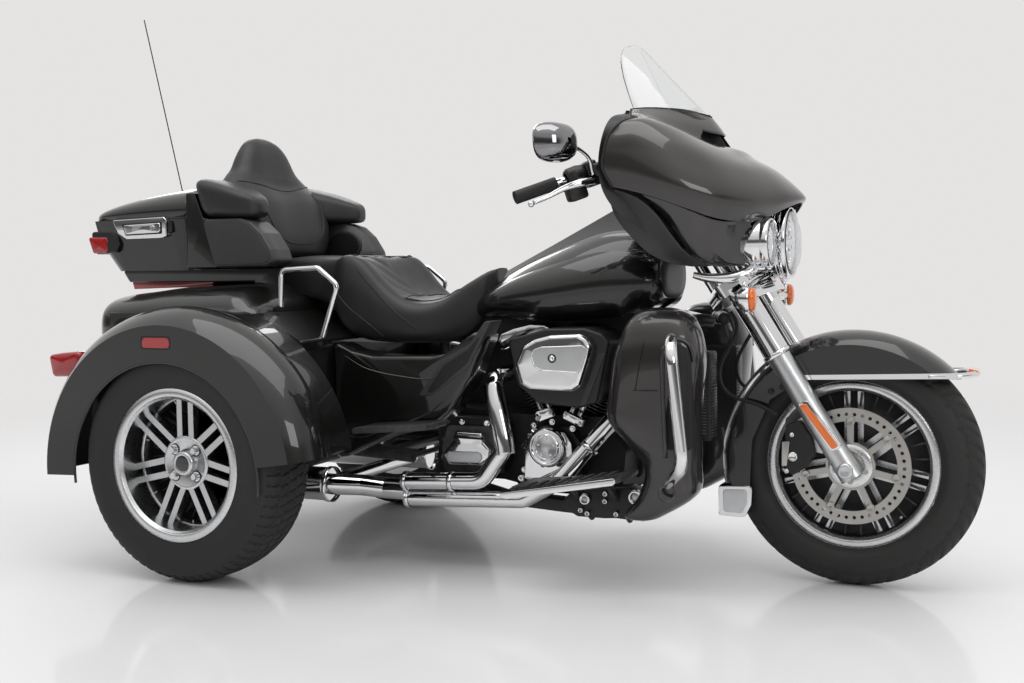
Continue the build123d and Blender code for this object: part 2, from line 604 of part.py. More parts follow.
with BuildPart() as trunk:
    middle_plate(TRUNK_HALF, [(TRUNK_REAR_X, TRUNK_FLOOR_Z), (TRUNK_REAR_X + 22, TRUNK_TOP_Z - 14),
                              (-80, 822), (-46, 760), (110, 742), (BODY_FRONT_X, 646),
                              (BODY_FRONT_X - PIECE_GAP, 330), (120, TRUNK_FLOOR_Z)], 12)
    # The shoulders fall from the flat top to the wheel wells.
    for hand in (-1, 1):
        extrude(outline(cross_plane(TRUNK_REAR_X - 20),
                        [(hand * TRUNK_TOP_HALF, 850), (hand * TRUNK_TOP_HALF, TRUNK_TOP_Z + 30),
                         (hand * (TRUNK_HALF + 2), 726), (hand * (TRUNK_HALF + 40), 850)]),
                amount=430, mode=Mode.SUBTRACT)
    with BuildSketch(Plane.XY.offset(TRUNK_FLOOR_Z + SKIN)) as hold:
        with Locations(((TRUNK_REAR_X + SKIN + HOLD_FRONT_X) / 2, 0)):
            Rectangle(HOLD_FRONT_X - TRUNK_REAR_X - SKIN, 2 * (TRUNK_HALF - SKIN))
    extrude(hold.sketch, amount=726 - TRUNK_FLOOR_Z - 3 * SKIN, mode=Mode.SUBTRACT)
    with BuildSketch(Plane.XY.offset(700)) as hold_top:
        with Locations(((TRUNK_REAR_X + 30 + HOLD_FRONT_X) / 2, 0)):
            Rectangle(HOLD_FRONT_X - TRUNK_REAR_X - 30, 2 * (TRUNK_TOP_HALF - SKIN))
    extrude(hold_top.sketch, amount=TRUNK_TOP_Z - 700 - 4 * SKIN, mode=Mode.SUBTRACT)
    # The doorway at the back, and the well under the seat.
    with BuildSketch(cross_plane(TRUNK_REAR_X - 10)) as doorway:
        with Locations((0, (DOOR_LOW_Z + DOOR_HIGH_Z) / 2)):
            RectangleRounded(2 * DOOR_HALF, DOOR_HIGH_Z - DOOR_LOW_Z, 30)
    extrude(doorway.sketch, amount=60, mode=Mode.SUBTRACT)
    # The door's hinge pins, each between two lugs.
    for hand in (-1, 1):
        rod((HINGE_X, hand * HINGE_INNER_Y, HINGE_Z), (HINGE_X, hand * HINGE_OUTER_Y, HINGE_Z),
            HINGE_PIN_RADIUS)
        for lug_y in (HINGE_INNER_Y, HINGE_OUTER_Y - HINGE_LUG):
            side_plate(max(hand * lug_y, hand * (lug_y + HINGE_LUG)), HINGE_LUG,
                       [(HINGE_X - 6, HINGE_Z - 6), (HINGE_X - 6, HINGE_Z + 5),
                        (TRUNK_REAR_X + 3, HINGE_Z + 1), (TRUNK_REAR_X + 3, HINGE_Z - 12)])
write(trunk, "trunk")

with BuildPart() as trunk_door:
    with BuildSketch(cross_plane(TRUNK_REAR_X - 10)) as panel:
        with Locations((0, (DOOR_LOW_Z + DOOR_HIGH_Z) / 2)):
            RectangleRounded(2 * (DOOR_HALF - MOVING_GAP), DOOR_HIGH_Z - DOOR_LOW_Z - 2 * MOVING_GAP, 26)
    extrude(panel.sketch, amount=DOOR_WALL)
    # The knuckles that turn on the hinge pins.
    for hand in (-1, 1):
        knuckle_inner = hand * (HINGE_INNER_Y + HINGE_LUG + 1)
        knuckle_outer = hand * (HINGE_OUTER_Y - HINGE_LUG - 1)
        side_plate(max(knuckle_inner, knuckle_outer), abs(knuckle_outer - knuckle_inner),
                   [(HINGE_X - 8, HINGE_Z - 8), (HINGE_X - 8, HINGE_Z + 30), (HINGE_X + 7, HINGE_Z + 30),
                    (HINGE_X + 7, HINGE_Z - 8)], 6)
        rod((HINGE_X, hand * HINGE_INNER_Y, HINGE_Z), (HINGE_X, hand * HINGE_OUTER_Y, HINGE_Z),
            HINGE_PIN_RADIUS + RUNNING_FIT, mode=Mode.SUBTRACT)
write(trunk_door, "trunk_door")

# ---- Rear fenders: a crowned skin turned about the arch's centre, open below ----
FENDER_OUTER_Y = OVERALL_WIDTH / 2
FENDER_INNER_Y = TRUNK_HALF + PIECE_GAP
FENDER_FRONT_ANGLE = 8
FENDER_SWEEP = 174
FENDER_CROWN_Y = FENDER_OUTER_Y - 135
SHOULDER_Y = FENDER_OUTER_Y - 41
SHOULDER_RADIUS = FENDER_SIDE_RADIUS + 33

with BuildPart() as rear_fenders:
    fender_origin = (FENDER_CENTRE_X, 0, FENDER_CENTRE_Z)
    start = math.radians(FENDER_FRONT_ANGLE)
    start_plane = Plane(origin=fender_origin, x_dir=(0, 1, 0),
                        z_dir=(math.sin(start), 0, -math.cos(start)))
    with BuildSketch(start_plane) as skin:
        with BuildLine():
            Line((-FENDER_OUTER_Y, ARCH_RADIUS), (-FENDER_OUTER_Y, FENDER_SIDE_RADIUS))
            ThreePointArc((-FENDER_OUTER_Y, FENDER_SIDE_RADIUS), (-SHOULDER_Y, SHOULDER_RADIUS),
                          (-FENDER_CROWN_Y, FENDER_RADIUS))
            Line((-FENDER_CROWN_Y, FENDER_RADIUS), (-FENDER_INNER_Y, FENDER_RADIUS - 4))
            Line((-FENDER_INNER_Y, FENDER_RADIUS - 4), (-FENDER_INNER_Y, FENDER_RADIUS - 4 - SKIN))
            Line((-FENDER_INNER_Y, FENDER_RADIUS - 4 - SKIN), (-FENDER_CROWN_Y, FENDER_RADIUS - SKIN))
            ThreePointArc((-FENDER_CROWN_Y, FENDER_RADIUS - SKIN), (3 - SHOULDER_Y, SHOULDER_RADIUS - 3),
                          (-FENDER_OUTER_Y + SKIN, FENDER_SIDE_RADIUS))
            Line((-FENDER_OUTER_Y + SKIN, FENDER_SIDE_RADIUS), (-FENDER_OUTER_Y + SKIN, ARCH_RADIUS))
            Line((-FENDER_OUTER_Y + SKIN, ARCH_RADIUS), (-FENDER_OUTER_Y, ARCH_RADIUS))
        make_face()
    revolve(skin.sketch, axis=Axis(fender_origin, (0, -1, 0)), revolution_arc=FENDER_SWEEP)
    mirror(about=Plane.XZ)
write(rear_fenders, "rear_fenders")

# ---- Side covers below the seat, with the pointed deflector behind each rear cylinder ----
with BuildPart() as side_covers:
    side_plate(-205, 92, [(BODY_FRONT_X + PIECE_GAP, 632), (390, 590), (642, 594), (752, 668),
                          (700, 545), (582, 404), (465, 380), (340, 330),
                          (BODY_FRONT_X + PIECE_GAP, 300)], 12)
    mirror(about=Plane.XZ)
write(side_covers, "side_covers")

# ---- Top box ----
BOX_HALF_LOW = 272
BOX_HALF_HIGH = 308
BOX_LOW_Z = 846
BOX_SEAM_Z = 1002
BOX_FRONT_X = -232
BOX_REAR_LOW_X = -560
BOX_REAR_HIGH_X = -664
LID_GAP = PIECE_GAP
LID_HINGE_Y = 324
LID_HINGES_X = (-560, -370)
LID_HINGE_LENGTH = 60
LID_LUG = 10

with BuildPart() as top_box_form:
    # (height, centre X, centre Y, length, width, corner radius)
    rounded_loft(((BOX_LOW_Z, (BOX_FRONT_X + BOX_REAR_LOW_X) / 2, 0, BOX_FRONT_X - BOX_REAR_LOW_X,
                   2 * BOX_HALF_LOW, 60),
                  (BOX_SEAM_Z, (BOX_FRONT_X + BOX_REAR_HIGH_X) / 2, 0, BOX_FRONT_X - BOX_REAR_HIGH_X,
                   2 * BOX_HALF_HIGH, 70)), Plane.XY.offset)

with BuildPart() as top_box:
    add(top_box_form.part)
    rounded_loft(((BOX_LOW_Z + BOX_WALL, (BOX_FRONT_X + BOX_REAR_LOW_X) / 2, 0,
                   BOX_FRONT_X - BOX_REAR_LOW_X - 2 * BOX_WALL, 2 * (BOX_HALF_LOW - BOX_WALL), 55),
                  (BOX_SEAM_Z + 1, (BOX_FRONT_X + BOX_REAR_HIGH_X) / 2, 0,
                   BOX_FRONT_X - BOX_REAR_HIGH_X - 2 * BOX_WALL, 2 * (BOX_HALF_HIGH - BOX_WALL), 65)),
                 Plane.XY.offset, mode=Mode.SUBTRACT)
    # The lid's hinge pins along the left side, each between two lugs.
    for hinge_x in LID_HINGES_X:
        for lug_x in (hinge_x, hinge_x + LID_HINGE_LENGTH - LID_LUG):
            with BuildSketch(cross_plane(lug_x)) as lug:
                with BuildLine():
                    Polyline((300, 972), (LID_HINGE_Y + 7, 994), (LID_HINGE_Y + 7, BOX_SEAM_Z + 7),
                             (LID_HINGE_Y - 7, BOX_SEAM_Z + 7), (LID_HINGE_Y - 7, 996), (300, 990), close=True)
                make_face()
            extrude(lug.sketch, amount=LID_LUG)
        rod((hinge_x, LID_HINGE_Y, BOX_SEAM_Z), (hinge_x + LID_HINGE_LENGTH, LID_HINGE_Y, BOX_SEAM_Z),
            HINGE_PIN_RADIUS)
write(top_box, "top_box")


def lid_form(inset, mode=Mode.ADD):
    """The lid's crowned form: low at the back and high behind the backrest, made smaller by inset."""
    faces = []
    # (station, half width, height of the side edge, height of the middle)
    for station, half, edge, crown in ((BOX_REAR_HIGH_X - 6 + inset, 296, 1012, 1020),
                                       (-560, 308, 1034, 1062), (-345, 311, 1046, 1100),
                                       (BOX_FRONT_X - inset, 306, 1040, 1106)):
        half_in = half - inset
        low = BOX_SEAM_Z + LID_GAP - (1 if inset else 0)
        with BuildSketch(cross_plane(station)) as section:
            with BuildLine():
                Polyline((-half_in, edge - inset), (-half_in, low), (half_in, low),
                         (half_in, edge - inset))
                ThreePointArc((half_in, edge - inset), (0, crown - inset), (-half_in, edge - inset))
            make_face()
        faces.append(section.sketch)
    loft(sections=faces, mode=mode)


with BuildPart() as top_box_lid:
    lid_form(0)
    lid_form(BOX_WALL, mode=Mode.SUBTRACT)
    # The knuckles that turn on the hinge pins.
    for hinge_x in LID_HINGES_X:
        with BuildSketch(cross_plane(hinge_x + LID_LUG + 1)) as knuckle:
            with BuildLine():
                Polyline((306, 1004), (306, 1015), (LID_HINGE_Y + 6, BOX_SEAM_Z + 7),
                         (LID_HINGE_Y + 7, BOX_SEAM_Z - 7), (LID_HINGE_Y - 5, BOX_SEAM_Z - 7),
                         (LID_HINGE_Y - 7, 1004), close=True)
            make_face()
        extrude(knuckle.sketch, amount=LID_HINGE_LENGTH - 2 * LID_LUG - 2)
        rod((hinge_x, LID_HINGE_Y, BOX_SEAM_Z), (hinge_x + LID_HINGE_LENGTH, LID_HINGE_Y, BOX_SEAM_Z),
            HINGE_PIN_RADIUS + RUNNING_FIT, mode=Mode.SUBTRACT)
write(top_box_lid, "top_box_lid")

with BuildPart() as lid_latch:
    side_plate(-BOX_HALF_HIGH + 24, 34, [(-500, 950), (-500, 992), (-312, 994), (-318, 954)], 8)
    add(top_box_form.part, mode=Mode.SUBTRACT)
write(lid_latch, "lid_latch")

with BuildPart() as box_mounts:
    for hand in (-1, 1):
        for x in (-430, -250):
            rod((x, hand * 200, TRUNK_TOP_Z - 8), (x, hand * 200, BOX_LOW_Z - PIECE_GAP), 14)
    add(trunk.part, mode=Mode.SUBTRACT)
    # The bracket that carries the backrest on the box's front wall.
    middle_plate(110, [(BOX_FRONT_X + PIECE_GAP, 872), (BOX_FRONT_X + PIECE_GAP, 996), (-146, 996),
                       (-140, 960), (-140, 872)], 0)
    add(backrest.part, mode=Mode.SUBTRACT)
write(box_mounts, "box_mounts")

with BuildPart() as speaker_pods:
    side_plate(-232, 96, [(-218, 1010), (4, 1006), (60, 870), (-200, 848)], 24)
    side_plate(-240, 50, [(-280, 960), (-190, 960), (-190, 890), (-280, 890)])
    add(top_box_form.part, mode=Mode.SUBTRACT)
    mirror(about=Plane.XZ)
write(speaker_pods, "speaker_pods")

# The lamps on the backs of the fenders, and those at the top box's rear corners.
with BuildPart() as rear_lamps:
    side_plate(-505, 84, [(-520, 540), (-520, 604), (-360, 622), (-360, 540)], 10)
    rod((FENDER_CENTRE_X, -480, FENDER_CENTRE_Z), (FENDER_CENTRE_X, -640, FENDER_CENTRE_Z),
        FENDER_RADIUS + PIECE_GAP, mode=Mode.SUBTRACT)
    add(rear_fenders.part, mode=Mode.SUBTRACT)
    rounded_loft(((930, -640, -200, 50, 74, 12), (968, -664, -200, 50, 74, 12)), Plane.XY.offset)
    add(top_box_form.part, mode=Mode.SUBTRACT)
    mirror(about=Plane.XZ)
write(rear_lamps, "rear_lamps")

ANTENNA_BASE = (-652, 250, 905)
ANTENNA_TIP = (-855, 250, 1745)
with BuildPart() as antenna:
    rod(ANTENNA_BASE, ANTENNA_TIP, 2)
    rod((-575, 250, 905), ANTENNA_BASE, 6)
    add(top_box_form.part, mode=Mode.SUBTRACT)
write(antenna, "antenna")

with BuildPart() as saddle_rails:
    tube([(112, -330, 720), (118, -330, 842), (242, -330, 846), (306, -330, 796), (246, -326, 640)],
         22, 8)
    add(trunk.part, mode=Mode.SUBTRACT)
    mirror(about=Plane.XZ)
write(saddle_rails, "saddle_rails")

# ---- Engine guard, lower fairings and radiators ----
with BuildPart() as engine_guard:
    tube([(1150, -106, 225), (1215, -250, 235), (1322, -390, 350), (1290, -388, 648),
          (1207, -24, 700)], 60, 16)
    add(frame.part, mode=Mode.SUBTRACT)
    mirror(about=Plane.XZ)
write(engine_guard, "engine_guard")

with BuildPart() as lower_fairings:
    # (height, centre X, centre Y, length, width, corner radius)
    rounded_loft(((190, 1188, -240, 100, 120, 40), (256, 1248, -250, 146, 150, 50),
                  (330, 1258, -252, 134, 160, 50), (447, 1206, -250, 236, 184, 56),
                  (600, 1220, -248, 232, 190, 60), (700, 1226, -240, 160, 160, 56),
                  (742, 1224, -232, 60, 80, 24)), Plane.XY.offset)
    add(engine_guard.part, mode=Mode.SUBTRACT)
    mirror(about=Plane.XZ)
write(lower_fairings, "lower_fairings")

RADIATOR_RIBS = 12
with BuildPart() as radiators:
    side_plate(-104, 66, [(1240, 380), (1240, 615), (1334, 615), (1334, 380)], 6)
    for rib in range(RADIATOR_RIBS):
        side_plate(-112, 38, [(1334, 392 + rib * 18), (1334, 400 + rib * 18), (1341, 400 + rib * 18),
                              (1341, 392 + rib * 18)])
    add(lower_fairings.part, mode=Mode.SUBTRACT)
    mirror(about=Plane.XZ)
write(radiators, "radiators")

# ---- Footboards and pedals ----
with BuildPart() as footboards:
    side_plate(-262, 138, [(865, 258), (865, 274), (1090, 296), (1165, 318), (1165, 302), (1090, 280)], 5)
    for bracket_x in (985, 1095):
        rod((bracket_x, -CRADLE_Y, CRADLE_Z), (bracket_x, -300, 276), 9)
    side_plate(-320, 118, [(412, 396), (412, 412), (638, 430), (638, 414)], 5)
    for bracket_x in (480, 550):
        rod((bracket_x, -260, 410), (bracket_x, -330, 410), 6)
    add(side_covers.part, mode=Mode.SUBTRACT)
    add(frame.part, mode=Mode.SUBTRACT)
    mirror(about=Plane.XZ)
write(footboards, "footboards")

# ---- Fork, clamps and steering stem ----
with BuildPart() as fork_tubes:
    for hand in (-1, 1):
        with BuildSketch(leg_plane(SLIDER_TOP + PIECE_GAP, hand * LEG_Y)) as leg:
            Circle(FORK_TUBE_RADIUS)
        extrude(leg.sketch, amount=UPPER_CLAMP + CLAMP_THICKNESS / 2 - SLIDER_TOP)
        with BuildSketch(leg_plane(SLIDER_TOP + 14, hand * LEG_Y)) as cover:
            Circle(FORK_COVER_RADIUS)
        extrude(cover.sketch, amount=FORK_COVER_TOP - SLIDER_TOP - 14)
    for along in (LOWER_CLAMP, UPPER_CLAMP):
        with BuildSketch(leg_plane(along - CLAMP_THICKNESS / 2)) as clamp:
            with BuildLine():
                FilletPolyline((-LEG_Y - 40, 40), (-LEG_Y - 40, -40), (LEG_Y + 40, -40),
                               (LEG_Y + 40, 40), (30, FORK_OFFSET + 25), (-30, FORK_OFFSET + 25),
                               radius=20, close=True)
            make_face()
        extrude(clamp.sketch, amount=CLAMP_THICKNESS)
    rod(HEAD_AXIS_FOOT + FORK_UP * LOWER_CLAMP, HEAD_AXIS_FOOT + FORK_UP * UPPER_CLAMP, STEM_RADIUS)
write(fork_tubes, "fork_tubes")

AXLE_LUG = 26
BRACE_LOW = 268
FRONT_FENDER_HALF = 85
CALIPER_INNER_Y = 52
CALIPER_OUTER_Y = 88

with BuildPart() as fork_sliders:
    with BuildSketch(leg_plane(-AXLE_LUG, -LEG_Y)) as slider:
        Circle(SLIDER_RADIUS)
    extrude(slider.sketch, amount=SLIDER_TOP + AXLE_LUG)
    # The lug that holds the fender, and the ear that holds the caliper.
    with BuildSketch(leg_plane(BRACE_LOW, -LEG_Y)) as lug:
        with Locations((LEG_Y / 2 - FRONT_FENDER_HALF / 2 - PIECE_GAP / 2, 0)):
            Rectangle(LEG_Y - FRONT_FENDER_HALF - PIECE_GAP, 26)
    extrude(lug.sketch, amount=34)
    side_plate(-CALIPER_OUTER_Y - PIECE_GAP, 24, [(1610, 355), (1640, 400), (1588, 470), (1520, 420),
                                                  (1520, 372)], 8)
    rod((WHEELBASE, -LEG_Y + SLIDER_RADIUS + 5, FRONT_TYRE_RADIUS),
        (WHEELBASE, -LEG_Y - SLIDER_RADIUS - 5, FRONT_TYRE_RADIUS),
        FRONT_AXLE_RADIUS + PIECE_GAP, mode=Mode.SUBTRACT)
    mirror(about=Plane.XZ)
write(fork_sliders, "fork_sliders")

with BuildPart() as front_axle:
    axle_half = LEG_Y + SLIDER_RADIUS + 5
    rod((WHEELBASE, axle_half, FRONT_TYRE_RADIUS), (WHEELBASE, -axle_half, FRONT_TYRE_RADIUS),
        FRONT_AXLE_RADIUS)
    for hand in (-1, 1):
        rod((WHEELBASE, hand * (FRONT_HUB_HALF + 1), FRONT_TYRE_RADIUS),
            (WHEELBASE, hand * (LEG_Y - SLIDER_RADIUS), FRONT_TYRE_RADIUS), FRONT_AXLE_RADIUS + 5)
    rod((WHEELBASE, axle_half, FRONT_TYRE_RADIUS), (WHEELBASE, -axle_half, FRONT_TYRE_RADIUS),
        FRONT_AXLE_BORE, mode=Mode.SUBTRACT)
write(front_axle, "front_axle")

with BuildPart() as front_calipers:
    side_plate(-CALIPER_INNER_Y, CALIPER_OUTER_Y - CALIPER_INNER_Y,
               [(1508, 352), (1580, 330), (1602, 420), (1560, 470), (1508, 440)], 14)
    slot_inner = DISC_Y - DISC_WALL / 2 - MOVING_GAP
    slot_outer = DISC_Y + DISC_WALL / 2 + MOVING_GAP
    rod((WHEELBASE, -slot_inner, FRONT_TYRE_RADIUS), (WHEELBASE, -slot_outer, FRONT_TYRE_RADIUS),
        DISC_RADIUS + MOVING_GAP, mode=Mode.SUBTRACT)
    mirror(about=Plane.XZ)
write(front_calipers, "front_calipers")

# ---- Front fender: a crowned skin turned about the wheel, trimmed to its side outline ----
FRONT_FENDER_RADIUS = 347
FRONT_FENDER_EDGE = 312
FRONT_SKIRT_RADIUS = 222

with BuildPart() as front_fender:
    start = math.radians(36)
    start_plane = Plane(origin=FRONT_CENTRE, x_dir=(0, 1, 0), z_dir=(math.sin(start), 0, -math.cos(start)))
    with BuildSketch(start_plane) as skin:
        with BuildLine():
            half = FRONT_FENDER_HALF
            inner = half - SKIN
            Line((half, FRONT_SKIRT_RADIUS), (half, FRONT_FENDER_EDGE))
            ThreePointArc((half, FRONT_FENDER_EDGE), (0, FRONT_FENDER_RADIUS), (-half, FRONT_FENDER_EDGE))
            Polyline((-half, FRONT_FENDER_EDGE), (-half, FRONT_SKIRT_RADIUS),
                     (-inner, FRONT_SKIRT_RADIUS), (-inner, FRONT_FENDER_EDGE))
            ThreePointArc((-inner, FRONT_FENDER_EDGE), (0, FRONT_FENDER_RADIUS - SKIN),
                          (inner, FRONT_FENDER_EDGE))
            Polyline((inner, FRONT_FENDER_EDGE), (inner, FRONT_SKIRT_RADIUS),
                     (half, FRONT_SKIRT_RADIUS))
        make_face()
    revolve(skin.sketch, axis=Axis(FRONT_CENTRE, (0, -1, 0)), revolution_arc=170)
    middle_plate(FRONT_FENDER_HALF + 10, [(1290, 163), (1409, 180), (1420, 378), (1468, 486), (1546, 540),
                                          (1945, 552), (2010, 560), (2010, 720), (1290, 720)],
                 mode=Mode.INTERSECT)
write(front_fender, "front_fender")

with BuildPart() as fender_trim:
    side_plate(-FRONT_FENDER_HALF - PIECE_GAP, 6, [(1556, 541), (1930, 552), (1930, 566), (1556, 553)])
    side_plate(-FRONT_FENDER_HALF - PIECE_GAP, 5, [(1334, 172), (1406, 180), (1416, 254), (1332, 250)], 5)
    mirror(about=Plane.XZ)
write(fender_trim, "fender_trim")

# ---- Lamps on the fork ----
HEADLAMP_X = 1502
HEADLAMP_Z = 897
HEADLAMP_RADIUS = 91
PASSING_Y = 152
PASSING_Z = 893
PASSING_RADIUS = 57
PASSING_FACE_X = 1488


def cap_middle(radius, height):
    """The distance forward of its rim and the radius of a spherical cap's middle point."""
    sphere = (radius ** 2 + height ** 2) / (2 * height)
    angle = math.asin(min(1, radius / sphere)) / 2
    return height - sphere * (1 - math.cos(angle)), sphere * math.sin(angle)


def lamp(face, radius, depth, lens):
    """A round lamp about a lengthwise axis: a domed bucket behind and a domed lens in front."""
    rim = depth * 0.3
    dome = depth - rim
    lens_radius = radius * 0.9
    dome_middle, dome_radius = cap_middle(radius, dome)
    lens_middle, lens_middle_radius = cap_middle(lens_radius, lens)
    plane = Plane(origin=face, x_dir=(1, 0, 0), z_dir=(0, -1, 0))
    with BuildSketch(plane) as section:
        with BuildLine():
            Line((lens, 0), (-depth, 0))
            ThreePointArc((-depth, 0), (-rim - dome_middle, dome_radius), (-rim, radius))
            Polyline((-rim, radius), (0, radius), (0, lens_radius))
            ThreePointArc((0, lens_radius), (lens_middle, lens_middle_radius), (lens, 0))
        make_face()
    revolve(section.sketch, axis=Axis(face, (1, 0, 0)))


with BuildPart() as headlamp:
    lamp((HEADLAMP_X, 0, HEADLAMP_Z), HEADLAMP_RADIUS, 92, 16)
write(headlamp, "headlamp")

with BuildPart() as passing_lamps:
    lamp((PASSING_FACE_X, -PASSING_Y, PASSING_Z), PASSING_RADIUS, 78, 9)
    mirror(about=Plane.XZ)
write(passing_lamps, "passing_lamps")

BAR_X = 1436
BAR_Z = 812
with BuildPart() as lamp_bar:
    tube([(BAR_X, -236, BAR_Z - 14), (BAR_X, -120, BAR_Z), (BAR_X, 120, BAR_Z), (BAR_X, 236, BAR_Z - 14)],
         30, 13)
    for hand in (-1, 1):
        rod((BAR_X, hand * PASSING_Y, BAR_Z), (BAR_X, hand * PASSING_Y, PASSING_Z - 30), 9)
        rod((BAR_X, hand * 60, BAR_Z), (BAR_X - 40, hand * 60, BAR_Z - 20), 9)
    rod((BAR_X, 0, BAR_Z), (BAR_X + 26, 0, BAR_Z + 40), 9)
    for neighbour in (passing_lamps, headlamp, fork_tubes):
        add(neighbour.part, mode=Mode.SUBTRACT)
write(lamp_bar, "lamp_bar")

with BuildPart() as turn_signals:
    for hand in (-1, 1):
        rod((BAR_X, hand * 228, BAR_Z - 16), (BAR_X, hand * 228, 770), 7)
        lamp((BAR_X + 14, hand * 228, 752), 27, 42, 9)
    add(lamp_bar.part, mode=Mode.SUBTRACT)
write(turn_signals, "turn_signals")

# ---- Fairing: sections from the lamps up to the windshield ----
# (height, rear station, half width, nose station, nose half width, corner radius)
FAIRING_SECTIONS = ((846, 1284, 215, 1396, 150, 36), (905, 1226, 305, 1404, 120, 40),
                    (965, 1168, 376, 1486, 60, 44), (1030, 1128, 404, 1532, 70, 60),
                    (1100, 1120, 408, 1450, 110, 80), (1160, 1126, 396, 1362, 130, 90),
                    (1215, 1130, 330, 1300, 120, 90), (1248, 1128, 220, 1262, 90, 70))
FAIRING_SKIN = 5
# (centre Y, height, radius) of the openings that clear the lamps
LAMP_OPENINGS = ((0, HEADLAMP_Z, HEADLAMP_RADIUS + 1.5), (-PASSING_Y, PASSING_Z, PASSING_RADIUS + 6),
                 (PASSING_Y, PASSING_Z, PASSING_RADIUS + 6))




def fairing_form(inset, rear_shift, mode=Mode.ADD):
    """The fairing's outer form drawn in by an inset, with its open back moved by rear_shift."""
    faces = []
    for height, rear, half, nose, nose_half, corner in FAIRING_SECTIONS:
        back = rear + rear_shift
        front = nose - inset
        wide = half - inset
        with BuildSketch(Plane.XY.offset(height)) as section:
            with BuildLine():
                FilletPolyline((back, -wide), (front, -nose_half), (front, nose_half), (back, wide),
                               radius=(0, corner, corner, 0), close=True)
            make_face()
        faces.append(section.sketch)
    loft(sections=faces, mode=mode)


FAIRING_TOP_Z = FAIRING_SECTIONS[-1][0]
DASH_DEPTH = 46
DASH_PROUD = 8
DASH_NOTCH_HALF = 168
DASH_NOTCH_Z = 1012

with BuildPart() as fairing_cavity:
    fairing_form(FAIRING_SKIN, -1)
    with BuildSketch(Plane.XY.offset(FAIRING_TOP_Z - FAIRING_SKIN)) as cap:
        with Locations((1300, 0)):
            Rectangle(900, 1000)
    extrude(cap.sketch, amount=60, mode=Mode.SUBTRACT)

with BuildPart() as fairing:
    fairing_form(0, 0)
    add(fairing_cavity.part, mode=Mode.SUBTRACT)
    for y, z, radius in LAMP_OPENINGS:
        rod((1400, y, z), (1700, y, z), radius, mode=Mode.SUBTRACT)
write(fairing, "fairing")

with BuildPart() as dash:
    faces = []
    for height, rear, half, nose, nose_half, corner in FAIRING_SECTIONS:
        narrow = DASH_DEPTH * (half - nose_half) / (nose - rear)
        wide = half - FAIRING_SKIN - 8
        with BuildSketch(Plane.XY.offset(min(height, FAIRING_TOP_Z - FAIRING_SKIN - PIECE_GAP))) as section:
            with BuildLine():
                Polyline((rear - DASH_PROUD, -wide), (rear + DASH_DEPTH, narrow - wide),
                         (rear + DASH_DEPTH, wide - narrow), (rear - DASH_PROUD, wide), close=True)
            make_face()
        faces.append(section.sketch)
    loft(sections=faces)
    add(fairing.part, mode=Mode.SUBTRACT)
    with BuildSketch(Plane.XY.offset(800)) as notch:
        with Locations((1250, 0)):
            Rectangle(400, 2 * DASH_NOTCH_HALF)
    extrude(notch.sketch, amount=DASH_NOTCH_Z - 800, mode=Mode.SUBTRACT)
    # The stays that carry the fairing on the upper fork clamp.
    for hand in (-1, 1):
        rod((1186, hand * 110, DASH_NOTCH_Z + 4), (1245, hand * 110, 900), 8)
    add(fork_tubes.part, mode=Mode.SUBTRACT)
write(dash, "dash")

# The windshield: a thin curved sheet that leans back, cut to a round-topped outline.
SCREEN_WALL = 3
SCREEN_BASE_HALF = 200
SCREEN_BASE_REAR_X = 1140
SCREEN_BASE_NOSE_X = 1254
SCREEN_TOP_Z = 1441
SCREEN_LEAN_X = 150

with BuildPart() as windshield:
    base_z = FAIRING_TOP_Z + PIECE_GAP
    with BuildSketch(Plane.XY.offset(base_z)) as band:
        with BuildLine():
            ThreePointArc((SCREEN_BASE_REAR_X, -SCREEN_BASE_HALF), (SCREEN_BASE_NOSE_X, 0),
                          (SCREEN_BASE_REAR_X, SCREEN_BASE_HALF))
            Line((SCREEN_BASE_REAR_X, SCREEN_BASE_HALF),
                 (SCREEN_BASE_REAR_X - SCREEN_WALL, SCREEN_BASE_HALF))
            ThreePointArc((SCREEN_BASE_REAR_X - SCREEN_WALL, SCREEN_BASE_HALF),
                          (SCREEN_BASE_NOSE_X - SCREEN_WALL, 0),
                          (SCREEN_BASE_REAR_X - SCREEN_WALL, -SCREEN_BASE_HALF))
            Line((SCREEN_BASE_REAR_X - SCREEN_WALL, -SCREEN_BASE_HALF),
                 (SCREEN_BASE_REAR_X, -SCREEN_BASE_HALF))
        make_face()
    lean = Vector(-SCREEN_LEAN_X, 0, SCREEN_TOP_Z - base_z)
    extrude(band.sketch, amount=lean.length, dir=lean.normalized())
    with BuildSketch(cross_plane(800)) as front:
        with Locations((0, SCREEN_TOP_Z - 200)):
            RectangleRounded(2 * SCREEN_BASE_HALF - 4, 400, 110)
    extrude(front.sketch, amount=600, mode=Mode.INTERSECT)
write(windshield, "windshield")

# ---- Handlebar, grips, controls and mirrors ----
BAR_RADIUS = 12.7
BAR_POINTS = ((1212, 0, 948), (1200, -80, 952), (1098, -160, 1006), (1070, -262, 1078),
              (991, -350, 1055), (907, -430, 1016))
GRIP_RADIUS = 17
HOUSING_RADIUS = 24

with BuildPart() as handlebar:
    tube(BAR_POINTS, 34, BAR_RADIUS)
    rod((1222, -40, 880), (1212, -40, 948), 13)
    mirror(about=Plane.XZ)
    add(fork_tubes.part, mode=Mode.SUBTRACT)
write(handlebar, "handlebar")

grip_start = Vector(*BAR_POINTS[-2])
grip_run = Vector(*BAR_POINTS[-1]) - grip_start
with BuildPart() as handgrips:
    rod(grip_start + grip_run * 0.1, grip_start + grip_run * 1.04, GRIP_RADIUS)
    rod(grip_start + grip_run * 0.05, BAR_POINTS[-1], BAR_RADIUS + PIECE_GAP, mode=Mode.SUBTRACT)
    mirror(about=Plane.XZ)
write(handgrips, "handgrips")

